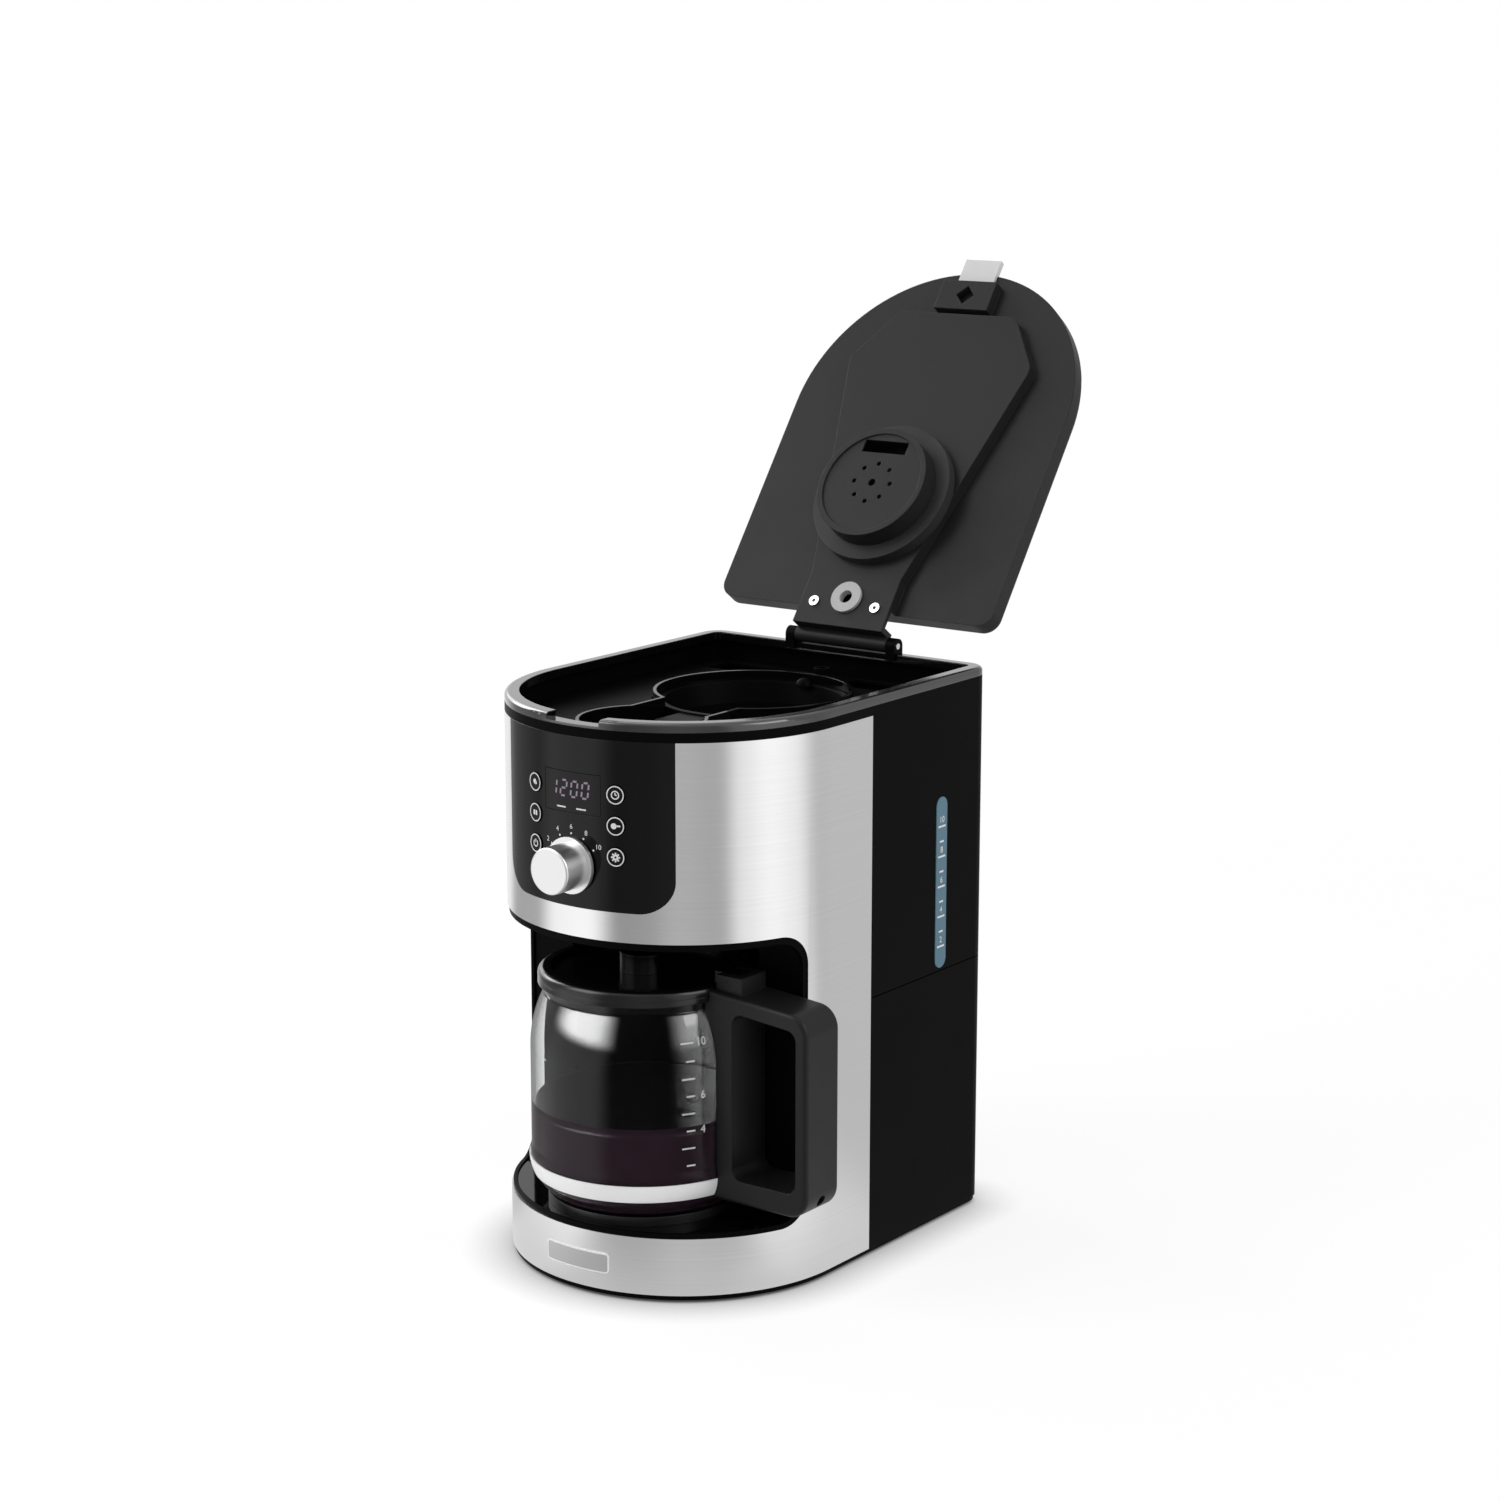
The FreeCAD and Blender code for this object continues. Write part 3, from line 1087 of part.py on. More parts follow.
# Brew basket and drip valve
def filter_basket():
    low = BASKET_BOTTOM_Z
    rim_low = BASKET_RIM_TOP_Z - BASKET_RIM_HEIGHT
    tub = two_chamber_block(BASKET_WALL, low, rim_low + BASKET_WALL)
    rim = two_chamber_block(BASKET_WALL + BASKET_RIM_STEP, rim_low, BASKET_RIM_TOP_Z)
    collar = rod(COLLAR_RADIUS, (0, CHAMBER_Y, low - COLLAR_DEPTH), (0, CHAMBER_Y, low))
    boss = rod(VALVE_BOSS_RADIUS, (0, BREW_Y, low - VALVE_BOSS_DEPTH), (0, BREW_Y, low))
    lip_front = BREW_Y - FRONT_CHAMBER_RADIUS - BASKET_WALL - BASKET_RIM_STEP
    lip_low = DECK_Z + DECK_THICKNESS + FIT_GAP
    lip = box((-BASKET_LIP_HALF, lip_front - BASKET_LIP_REACH, lip_low),
              (BASKET_LIP_HALF, BREW_Y, BASKET_RIM_TOP_Z))
    body = joined([tub, rim, collar, boss, lip])
    hollow_low = two_chamber_block(0, low + BASKET_FLOOR, FAR)
    hollow_high = two_chamber_block(BASKET_RIM_STEP, rim_low + BASKET_WALL, FAR)
    collar_hollow = rod(COLLAR_RADIUS - BASKET_WALL, (0, CHAMBER_Y, 0), (0, CHAMBER_Y, low))
    body = minus(body, [hollow_low, hollow_high, collar_hollow])
    guard_top = low + BASKET_FLOOR + SPINDLE_GUARD_HEIGHT
    guard = rod(SPINDLE_HOLE_RADIUS + BASKET_WALL, (0, CHAMBER_Y, low), (0, CHAMBER_Y, guard_top))
    spindle_hole = rod(SPINDLE_HOLE_RADIUS, (0, CHAMBER_Y, 0), (0, CHAMBER_Y, FAR))
    valve_hole = rod(VALVE_HOLE_RADIUS, (0, BREW_Y, 0), (0, BREW_Y, FAR))
    return minus(joined([body, guard]), [spindle_hole, valve_hole])


def drip_valve_plunger():
    cap_top = VALVE_CAP_TOP_Z
    cap_low = VALVE_CAP_LOW_Z
    cap = revolved([
        (0, cap_low),
        (VALVE_NOSE_RADIUS, cap_low + VALVE_NOSE_RISE),
        (VALVE_SHOULDER_RADIUS, cap_low + VALVE_SHOULDER_RISE),
        (VALVE_CAP_RADIUS, cap_top - VALVE_CAP_EDGE),
        (VALVE_CAP_RADIUS, cap_top),
        (0, cap_top),
    ], 0, BREW_Y)
    stem_top = BASKET_BOTTOM_Z + BASKET_FLOOR + FIT_GAP + VALVE_SEAL_THICKNESS + VALVE_CAP_EDGE
    stem = rod(VALVE_STEM_RADIUS, (0, BREW_Y, cap_top - VALVE_CAP_EDGE), (0, BREW_Y, stem_top))
    return joined([cap, stem])


def drip_valve_seal():
    low = BASKET_BOTTOM_Z + BASKET_FLOOR + FIT_GAP
    return ring(VALVE_SEAL_RADIUS, VALVE_STEM_RADIUS, 0, BREW_Y, low, low + VALVE_SEAL_THICKNESS)


def tangent_arc(start, heading, end):
    """Arc from start, leaving along heading, to end."""
    chord = end - start
    middle = start + chord * 0.5
    half = chord.Length / 2
    reach = half / heading.dot(chord.normalize())
    lean = start + heading * reach - middle
    if lean.Length < STRAIGHT_LIMIT:
        return Part.LineSegment(start, end).toShape()
    angle = math.atan2(lean.Length, half)
    return Part.Arc(start, middle + lean.normalize() * half * math.tan(angle / 2), end).toShape()


def biarc(start, start_way, end, end_way):
    """Two tangent arcs from one point and heading to another."""
    span = end - start
    ways = start_way + end_way
    closeness = 2 * (1 - start_way.dot(end_way))
    along_ways = span.dot(ways)
    reach = (math.sqrt(along_ways ** 2 + closeness * span.dot(span)) - along_ways) / closeness
    joint = (start + end + (start_way - end_way) * reach) * 0.5
    joint_way = (joint - (start + start_way * reach)).normalize()
    return [tangent_arc(start, start_way, joint), tangent_arc(joint, joint_way, end)]


def drip_valve_spring():
    wire = SPRING_WIRE_RADIUS
    low = VALVE_CAP_TOP_Z + wire + SPRING_SEAT
    high = BASKET_BOTTOM_Z - VALVE_BOSS_DEPTH - wire - SPRING_SEAT
    pitch = (high - low) / SPRING_TURNS
    steps = SPRING_TURNS * SPRING_ARCS
    quarter = 2 * math.pi / SPRING_ARCS

    def place(step):
        turn = step * quarter
        height = low + pitch * step / SPRING_ARCS
        return V(SPRING_RADIUS * math.cos(turn), BREW_Y + SPRING_RADIUS * math.sin(turn), height)

    def way(step):
        turn = step * quarter
        rise = pitch / (2 * math.pi)
        return V(-SPRING_RADIUS * math.sin(turn), SPRING_RADIUS * math.cos(turn), rise).normalize()

    edges = [Part.LineSegment(place(0) - way(0) * 2 * wire, place(0)).toShape()]
    for step in range(steps):
        edges += biarc(place(step), way(step), place(step + 1), way(step + 1))
    edges.append(Part.LineSegment(place(steps), place(steps) + way(steps) * 2 * wire).toShape())
    path = Part.Wire(edges)
    section = Part.Wire([Part.makeCircle(wire, place(0) - way(0) * 2 * wire, way(0))])
    print("spring least gap to itself", round(least_gap(path, pitch) - 2 * wire, 3))
    return path.makePipeShell([section], True, False)


def least_gap(path, pitch):
    """Least distance between points of the path that lie more than half a turn apart along it."""
    points = path.discretize(Distance=SPRING_SAMPLE)
    apart = round(math.pi * SPRING_RADIUS / SPRING_SAMPLE)
    return min(
        first.distanceToPoint(second)
        for i, first in enumerate(points) for second in points[i + apart:]
        if second.z - first.z > pitch / 2 or first.distanceToPoint(second) > SPRING_RADIUS / 2)


# Filter and blade
def filter_radius(z):
    """Inner radius of the tapered filter wall at a height."""
    low = FILTER_BOTTOM_Z + FILTER_COLLAR_HEIGHT
    high = FILTER_SEAT_Z
    share = (z - low) / (high - low)
    return FILTER_FOOT_RADIUS + (FILTER_TOP_RADIUS - FILTER_FOOT_RADIUS) * share - FILTER_WALL


def filter_frame():
    low = FILTER_BOTTOM_Z
    foot = low + FILTER_COLLAR_HEIGHT
    rim_low = FILTER_RIM_TOP_Z - FILTER_RIM_HEIGHT
    shell = revolved([
        (0, low), (FILTER_COLLAR_RADIUS, low),
        (FILTER_COLLAR_RADIUS, foot - FILTER_WALL), (FILTER_FOOT_RADIUS, foot),
        (FILTER_TOP_RADIUS, FILTER_SEAT_Z), (FILTER_BAND_RADIUS, FILTER_SEAT_Z),
        (FILTER_BAND_RADIUS, rim_low), (FILTER_RIM_RADIUS, rim_low),
        (FILTER_RIM_RADIUS, FILTER_RIM_TOP_Z), (FILTER_BAND_RADIUS - FILTER_WALL, FILTER_RIM_TOP_Z),
        (FILTER_TOP_RADIUS - FILTER_WALL, FILTER_SEAT_Z),
        (FILTER_FOOT_RADIUS - FILTER_WALL, foot + FILTER_WALL / 2),
        (FILTER_COLLAR_RADIUS - FILTER_WALL, foot - FILTER_WALL / 2),
        (FILTER_COLLAR_RADIUS - FILTER_WALL, low + FILTER_FLOOR), (0, low + FILTER_FLOOR),
    ], 0, CHAMBER_Y)
    hub_top = low + FILTER_HUB_HEIGHT
    hub = rod(BUSH_RADIUS, (0, CHAMBER_Y, low), (0, CHAMBER_Y, hub_top))
    tab_front = CHAMBER_Y - FILTER_RIM_RADIUS - FILTER_TAB_LENGTH
    tab_top = FILTER_RIM_TOP_Z - FILTER_TAB_DROP
    tab = box((-FILTER_TAB_WIDTH / 2, tab_front, tab_top - FILTER_TAB_THICKNESS),
              (FILTER_TAB_WIDTH / 2, CHAMBER_Y - FILTER_BAND_RADIUS + FILTER_WALL / 2, tab_top))
    nub_y = CHAMBER_Y + FILTER_BAND_RADIUS - FILTER_WALL / 2 - FILTER_NUB_INSET
    nub_seat = V(0, nub_y, FILTER_RIM_TOP_Z - FILTER_NUB_SINK)
    nub = Part.makeSphere(FILTER_NUB_RADIUS, nub_seat, Z_AXIS, 0, 90, 360)
    frame = joined([shell, hub, tab, nub])
    cuts = [rod(SPINDLE_RADIUS + RUNNING_CLEARANCE, (0, CHAMBER_Y, 0), (0, CHAMBER_Y, hub_top))]
    spacing = 360 / FILTER_RIBS
    half = FILTER_FOOT_RADIUS * math.sin(math.radians(spacing / 2)) - FILTER_RIB_WIDTH / 2
    for i in range(FILTER_RIBS):
        window = box((FILTER_COLLAR_RADIUS - FILTER_WALL, -half, foot + FILTER_SILL),
                     (FILTER_RIM_RADIUS + FILTER_WALL, half, FILTER_WINDOW_TOP_Z))
        window.rotate(V(0, 0, 0), Z_AXIS, spacing * (i + 0.5) + FILTER_TURN)
        window.translate(V(0, CHAMBER_Y, 0))
        cuts.append(window)
    return minus(frame, cuts)


def filter_mesh():
    low = FILTER_BOTTOM_Z + FILTER_COLLAR_HEIGHT + FILTER_SILL / 2
    high = FILTER_WINDOW_TOP_Z + FILTER_SILL / 2
    low_radius = filter_radius(low) - MESH_GAP
    high_radius = filter_radius(high) - MESH_GAP
    return revolved([
        (low_radius, low), (high_radius, high),
        (high_radius - MESH_THICKNESS, high), (low_radius - MESH_THICKNESS, low),
    ], 0, CHAMBER_Y)


def blade_spindle():
    coupling_top = MOUNT_PLATE_Z + MOUNT_PLATE_THICKNESS + COUPLING_GAP + COUPLING_HEIGHT
    shoulder = FILTER_BOTTOM_Z - FIT_GAP
    hexagon = hex_block(HEX_RADIUS, 0, CHAMBER_Y, coupling_top - HEX_DEPTH + COUPLING_GAP, shoulder)
    top = FILTER_BOTTOM_Z + FILTER_HUB_HEIGHT + FIT_GAP + BLADE_THICKNESS + BLADE_NUT_HEIGHT
    shaft = rod(SPINDLE_RADIUS, (0, CHAMBER_Y, shoulder), (0, CHAMBER_Y, top))
    nut = hex_block(HEX_RADIUS, 0, CHAMBER_Y, top - BLADE_NUT_HEIGHT, top)
    return joined([hexagon, shaft, nut])


def grinding_blade():
    low = FILTER_BOTTOM_Z + FILTER_HUB_HEIGHT + FIT_GAP
    high = low + BLADE_THICKNESS
    bar = box((-BLADE_LENGTH / 2, CHAMBER_Y - BLADE_WIDTH / 2, low),
              (BLADE_LENGTH / 2, CHAMBER_Y + BLADE_WIDTH / 2, high))
    hub = rod(BLADE_HUB_RADIUS, (0, CHAMBER_Y, low), (0, CHAMBER_Y, high))
    return joined([bar, hub]).cut(rod(SPINDLE_RADIUS, (0, CHAMBER_Y, low), (0, CHAMBER_Y, high)))


# Carafe
def glass_outline(grow, floor):
    """Half section edges of the glass's outside, drawn in by grow, from the axis at floor to the mouth."""
    foot = GLASS_FOOT_RADIUS - GLASS_FOOT_ROUND
    side = GLASS_RADIUS - grow
    neck = GLASS_NECK_RADIUS - grow
    lean = math.sqrt(0.5)
    low_mid = V(foot + (side - foot) * lean, 0, GLASS_SIDE_LOW - (GLASS_SIDE_LOW - floor) * lean)
    drop = GLASS_NECK_LOW - GLASS_SIDE_HIGH
    step = side - neck
    high_mid = V(neck + step * GLASS_SHOULDER_LEAN, 0, GLASS_SIDE_HIGH + drop * GLASS_SHOULDER_LEAN)
    return [
        Part.LineSegment(V(0, 0, floor), V(foot, 0, floor)).toShape(),
        Part.Arc(V(foot, 0, floor), low_mid, V(side, 0, GLASS_SIDE_LOW)).toShape(),
        Part.LineSegment(V(side, 0, GLASS_SIDE_LOW), V(side, 0, GLASS_SIDE_HIGH)).toShape(),
        Part.Arc(V(side, 0, GLASS_SIDE_HIGH), high_mid, V(neck, 0, GLASS_NECK_LOW)).toShape(),
        Part.LineSegment(V(neck, 0, GLASS_NECK_LOW), V(neck, 0, GLASS_HEIGHT)).toShape(),
        Part.LineSegment(V(neck, 0, GLASS_HEIGHT), V(0, 0, GLASS_HEIGHT)).toShape(),
        Part.LineSegment(V(0, 0, GLASS_HEIGHT), V(0, 0, floor)).toShape(),
    ]


def glass_solid(grow, floor):
    return Part.Face(Part.Wire(glass_outline(grow, floor))).revolve(V(0, 0, 0), Z_AXIS, 360)


def placed(shape):
    """Moves a carafe piece from its own axis to its place on the warming plate."""
    moved = shape.copy()
    moved.translate(V(0, BREW_Y, CARAFE_Z))
    return moved


def carafe_glass():
    return placed(glass_solid(0, 0).cut(glass_solid(GLASS_WALL, GLASS_WALL)))


def carafe_collar():
    low = GLASS_HEIGHT - COLLAR_HEIGHT
    return placed(ring(COLLAR_OUTER_RADIUS, GLASS_NECK_RADIUS, 0, 0, low, GLASS_HEIGHT + COLLAR_LIP))


def lid_pin_bore(radius):
    half = HANDLE_EARS_WIDTH / 2
    z = GLASS_HEIGHT + LID_PIN_RISE
    return rod(radius, (LID_PIN_X, -half, z), (LID_PIN_X, half, z))


def carafe_lid():
    low = GLASS_HEIGHT + COLLAR_LIP
    top = low + CARAFE_LID_HEIGHT
    disc = rod(COLLAR_OUTER_RADIUS, (0, 0, low), (0, 0, top))
    disc = rounded_edges(disc, CARAFE_LID_ROUND, lambda edge: edge.BoundBox.ZMin > top - TOLERANCE)
    skirt_outer = GLASS_NECK_RADIUS - GLASS_WALL - FIT_GAP
    skirt = ring(skirt_outer, skirt_outer - COLLAR_WALL, 0, 0, low - CARAFE_SKIRT, low)
    crown_radius = CARAFE_LID_HOLE + COLLAR_WALL
    crown = rod(crown_radius, (0, 0, top), (0, 0, CARAFE_CROWN_Z))
    recess_low = top - CARAFE_LID_RECESS
    recess = ring(COLLAR_OUTER_RADIUS - CARAFE_LID_BORDER, crown_radius, 0, 0, recess_low, top)
    dish = rod(CARAFE_LID_HOLE, (0, 0, low + COLLAR_WALL), (0, 0, CARAFE_CROWN_Z))
    drip = rod(VALVE_HOLE_RADIUS, (0, 0, 0), (0, 0, FAR))
    ear_half = HANDLE_EARS_WIDTH / 2 - HANDLE_EAR - FIT_GAP
    ear_high = GLASS_HEIGHT + LID_PIN_RISE + HANDLE_EAR
    ear = box((GLASS_NECK_RADIUS - COLLAR_WALL, -ear_half, low), (LID_PIN_X + HANDLE_EAR, ear_half, ear_high))
    hollows = [recess, dish, drip, lid_pin_bore(LID_PIN_RADIUS)]
    return placed(minus(joined([disc, skirt, crown, ear]), hollows))


def carafe_lid_pin():
    return placed(lid_pin_bore(LID_PIN_RADIUS))


def strap_zone(thickness):
    """Glass grown outwards by thickness, over the height of the strap."""
    slice_block = rod(FAR, (0, 0, STRAP_Z), (0, 0, STRAP_Z + STRAP_HEIGHT))
    return glass_solid(-thickness, 0).common(slice_block)


def carafe_strap():
    return placed(strap_zone(STRAP_THICKNESS).cut(glass_solid(-STRAP_CLEARANCE, 0)))


def handle_top(x):
    """Height of the handle's top at a distance from the carafe's axis: it falls towards the grip."""
    share = (x - COLLAR_OUTER_RADIUS) / (HANDLE_REACH - COLLAR_OUTER_RADIUS)
    return HANDLE_TOP_Z - HANDLE_FALL * share


def handle_block(left, right, low, depth, half):
    """Block across the handle from left to right, whose top lies a depth under the handle's top."""
    corners = [
        V(left, -half, low), V(right, -half, low),
        V(right, -half, handle_top(right) - depth), V(left, -half, handle_top(left) - depth),
    ]
    return Part.Face(Part.makePolygon(corners + corners[:1])).extrude(V(0, 2 * half, 0))


def carafe_handle():
    half = HANDLE_WIDTH / 2
    outer = handle_block(0, HANDLE_REACH, HANDLE_BOTTOM_Z, 0, half)
    outer = rounded_edges(outer, HANDLE_CORNER, lambda edge: along(edge, Y_AXIS) and edge.CenterOfMass.x > 0)
    middle = HANDLE_REACH / 2 - HANDLE_CORNER
    outer = rounded_edges(
        outer, HANDLE_ROUND, lambda edge: edge.CenterOfMass.x > middle and not along(edge, Y_AXIS))
    grip_inside = HANDLE_REACH - HANDLE_GRIP
    gap_low = HANDLE_BOTTOM_Z + HANDLE_LOW_ARM
    finger_gap = handle_block(HANDLE_GAP_X, grip_inside, gap_low, HANDLE_TOP_ARM, FAR)
    finger_gap = rounded_edges(finger_gap, HANDLE_CORNER / 2, lambda edge: along(edge, Y_AXIS))
    ears_half = HANDLE_EARS_WIDTH / 2
    ears = box((COLLAR_OUTER_RADIUS, -ears_half, GLASS_HEIGHT),
               (LID_PIN_X + 2 * HANDLE_EAR, ears_half, GLASS_HEIGHT + LID_PIN_RISE + HANDLE_EAR))
    ear_slot = box((0, HANDLE_EAR - ears_half, GLASS_HEIGHT + COLLAR_LIP - FIT_GAP),
                   (LID_PIN_X + HANDLE_EAR + FIT_GAP, ears_half - HANDLE_EAR, FAR))
    lid_room = rod(COLLAR_OUTER_RADIUS + FIT_GAP, (0, 0, GLASS_HEIGHT), (0, 0, FAR))
    collar_room = rod(COLLAR_OUTER_RADIUS, (0, 0, GLASS_HEIGHT - COLLAR_HEIGHT), (0, 0, GLASS_HEIGHT))
    strap_room = strap_zone(STRAP_THICKNESS)
    z = HANDLE_SCREW_Z
    shank = rod(HANDLE_SCREW_SHANK, (0, 0, z), (HANDLE_REACH, 0, z))
    head_room = rod(HANDLE_SCREW_RADIUS + FIT_GAP, (HANDLE_SCREW_X, 0, z), (FAR, 0, z))
    return placed(minus(joined([outer, ears]), [
        finger_gap, ear_slot, lid_room, collar_room, strap_room, shank, head_room,
        glass_solid(-FIT_GAP, -FIT_GAP), lid_pin_bore(LID_PIN_RADIUS),
    ]))


def handle_screw():
    z = HANDLE_SCREW_Z
    head = rod(HANDLE_SCREW_RADIUS, (HANDLE_SCREW_X, 0, z), (HANDLE_SCREW_X + HANDLE_SCREW_RADIUS, 0, z))
    start = GLASS_RADIUS + STRAP_THICKNESS + FIT_GAP
    return placed(joined([head, rod(HANDLE_SCREW_SHANK, (start, 0, z), (HANDLE_SCREW_X, 0, z))]))


PIECES = {
    "base_tray": base_tray, "rubber_feet": rubber_feet, "base_screws": base_screws,
    "base_deck": base_deck, "warming_plate": warming_plate, "heater_tube": heater_tube,
    "steel_wrap": steel_wrap, "front_frame": front_frame, "rear_upper_housing": rear_upper_housing,
    "rear_lower_cover": rear_lower_cover, "gauge_window": gauge_window, "cord_gland": cord_gland,
    "top_rim": top_rim, "bay_liner": bay_liner, "bay_ceiling": bay_ceiling,
    "control_panel": control_panel, "display_lens": display_lens, "control_board": control_board,
    "knob_encoder": knob_encoder, "knob": knob, "top_deck": top_deck, "brew_well": brew_well,
    "water_tank": water_tank, "check_valve": check_valve, "inlet_hose": inlet_hose,
    "riser_tube": riser_tube, "outlet_spout": outlet_spout, "grinder_motor": grinder_motor,
    "motor_mount": motor_mount, "drive_coupling": drive_coupling, "lid_shell": lid_shell,
    "lid_inner_cover": lid_inner_cover, "shower_head": shower_head, "steam_seal": steam_seal,
    "lid_grommet": lid_grommet, "lid_screws": lid_screws, "lid_pull_tab": lid_pull_tab,
    "hinge_bracket": hinge_bracket, "hinge_pin": hinge_pin, "filter_basket": filter_basket,
    "drip_valve_plunger": drip_valve_plunger, "drip_valve_seal": drip_valve_seal,
    "drip_valve_spring": drip_valve_spring, "filter_frame": filter_frame, "filter_mesh": filter_mesh,
    "blade_spindle": blade_spindle, "grinding_blade": grinding_blade, "carafe_glass": carafe_glass,
    "carafe_collar": carafe_collar, "carafe_lid": carafe_lid, "carafe_lid_pin": carafe_lid_pin,
    "carafe_strap": carafe_strap, "carafe_handle": carafe_handle, "handle_screw": handle_screw,
}


def build():
    os.makedirs("parts", exist_ok=True)
    shapes = {name: make() for name, make in PIECES.items()}
    row_names = ("upper", "middle", "lower")
    side_names = {-1: "left", 1: "right"}
    for (row, side), button in button_shapes(0, BUTTON_PROUD, BUTTON_DEPTH).items():
        shapes["button_" + row_names[row] + "_" + side_names[side]] = button
    for name, shape in shapes.items():
        whole = shape.isValid() and all(solid.isClosed() for solid in shape.Solids)
        print(name, len(shape.Solids), round(shape.Volume, 1), "" if whole else "NOT WHOLE")
        shape.exportStep("parts/" + name + ".step")


build()
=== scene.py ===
"""Drip coffee maker: finishes, printed marks, coffee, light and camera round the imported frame.

Metres. X points to the machine's right, -Y to its front and +Z up.
"""
import json
import math

import bmesh
import bpy
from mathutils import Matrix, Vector


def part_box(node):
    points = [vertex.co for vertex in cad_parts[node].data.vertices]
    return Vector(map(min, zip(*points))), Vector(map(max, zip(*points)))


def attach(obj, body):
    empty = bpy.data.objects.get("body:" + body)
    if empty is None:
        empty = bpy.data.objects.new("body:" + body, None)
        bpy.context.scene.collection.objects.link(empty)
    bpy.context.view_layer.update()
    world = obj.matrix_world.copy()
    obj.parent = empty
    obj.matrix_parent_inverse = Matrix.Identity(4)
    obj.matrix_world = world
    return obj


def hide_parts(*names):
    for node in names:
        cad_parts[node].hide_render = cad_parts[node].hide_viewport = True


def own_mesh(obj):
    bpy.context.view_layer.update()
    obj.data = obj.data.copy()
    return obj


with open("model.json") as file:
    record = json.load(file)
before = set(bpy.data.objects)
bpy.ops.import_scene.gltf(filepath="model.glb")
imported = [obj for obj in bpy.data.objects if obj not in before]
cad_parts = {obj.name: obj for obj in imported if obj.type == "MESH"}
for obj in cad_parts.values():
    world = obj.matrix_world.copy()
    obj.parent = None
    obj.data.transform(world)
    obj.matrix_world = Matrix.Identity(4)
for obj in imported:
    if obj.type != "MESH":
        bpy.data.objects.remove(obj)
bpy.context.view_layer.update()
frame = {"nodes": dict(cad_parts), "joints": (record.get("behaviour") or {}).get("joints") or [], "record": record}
NODES = frame["nodes"]
JOINTS = {joint["name"]: joint for joint in frame["joints"]}
MM = 0.001

# Camera
CAMERA_PLACE = (1.2235, -1.6189, 0.7519)
CAMERA_AZIMUTH = 36.5
CAMERA_ELEVATION = 12.23
CAMERA_LENS = 80.006
CAMERA_SENSOR = 36.0

# Studio
FLOOR_HALF = 40.0
FLOOR_COLOUR = (0.93, 0.93, 0.93, 1)
FLOOR_SHOWN_COLOUR = (0.20, 0.20, 0.20, 1)
FLOOR_SHOWN_GLOW = 0.83
# Reach of the contact shadow that is painted into the floor's glow round the object
FLOOR_SHADOW_REACH = 0.035
FLOOR_FADE_START = 0.5
FLOOR_FADE_END = 1.6
SKY_DIFFUSE = 0.55
SKY_TOP = 0.95
SKY_RISE = (0.55, 0.95)
# The floor near the object, as shiny surfaces see it
NEAR_LEVEL = 0.74
NEAR_START = 0.05
NEAR_END = 0.40
# Each pair is a direction, in degrees from the front towards the machine's right, and a level of light
STUDIO_BANDS = (
    (-180, 0.62), (-140, 0.84), (-112, 1.00), (-92, 0.46), (-66, 0.50), (-48, 1.22),
    (-22, 1.28), (-3, 0.38), (12, 0.42), (32, 0.57), (58, 0.50), (71, 1.05),
    (90, 1.22), (108, 1.12), (128, 0.64), (150, 0.68), (180, 0.62),
)
GLASS_BANDS = (
    (-180, 0.30), (-75, 0.30), (-58, 0.45), (-12, 0.45), (8, 0.04),
    (64, 0.03), (86, 0.35), (120, 0.40), (180, 0.30),
)
SOFTBOX_BANDS = (
    (-76, 0.0), (-40, 1.0), (-22, 1.0), (12, 0.0), (62, 0.0), (88, 0.22), (112, 0.22), (136, 0.0),
)
SOFTBOX_LEVEL = 13.0
SOFTBOX_LOW = (0.0, 0.2)
SOFTBOX_HIGH = (0.46, 0.72)
BACK_BANDS = ((-136, 0.0), (-122, 1.0), (-98, 1.0), (-84, 0.0))
BACK_LEVEL = 2.4
BACK_LOW = (0.08, 0.2)
# Name, place, side and power of each lamp
LAMPS = (
    ("key_lamp", (-1.3, -1.5, 1.9), 1.4, 20.0),
    ("side_lamp", (1.9, 0.3, 1.5), 1.2, 12.0),
    ("left_lamp", (-1.7, 0.15, 1.2), 0.8, 9.0),
)
LAMP_AIM = Vector((0, 0, 0.25))

# Places from the frame
WRAP_LOW, WRAP_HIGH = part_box("steel_wrap")
FRONT_RADIUS = WRAP_HIGH.x
FRONT_CENTRE_Y = WRAP_LOW.y + FRONT_RADIUS
GAUGE_LOW, GAUGE_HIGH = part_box("gauge_window")
GLASS_LOW, GLASS_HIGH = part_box("carafe_glass")

# Panel marks
MARK_SINK = 0.05 * MM
MARK_HEIGHT = 0.15 * MM
MARK_WELD = 0.004 * MM
DIGIT_HEIGHT = 10.6 * MM
DIGIT_WIDTH = 5.6 * MM
DIGIT_STEP = 8.0 * MM
DIGIT_STROKE = 1.15 * MM
DIGIT_GAP = 0.25 * MM
DIGIT_SLANT = 0.12
DIGIT_MIDDLE_Z = 313.6 * MM
DIGIT_SHIFT = -1.5 * MM
DIGIT_TEXT = "1200"
# Segments that are lit, by their usual letters from a at the top, clockwise, to g in the middle
SEGMENTS = {"0": "abcdef", "1": "bc", "2": "abged"}
DASH_Z = 302.0 * MM
DASH_LENGTH = 7.0 * MM
DASH_WIDTH = 0.9 * MM
DASH_X = 7.5 * MM
DIAL_NUMBERS = ("2", "4", "6", "8", "10")
DIAL_RADIUS = 23.2 * MM
DIAL_DOT_CIRCLE = 19.2 * MM
DIAL_DOT_RADIUS = 0.65 * MM
DIAL_DOT_SIDES = 12
DIAL_TEXT_SIZE = 4.2 * MM
BUTTON_RING_RADIUS = 5.2 * MM
BUTTON_RING_WIDTH = 0.65 * MM

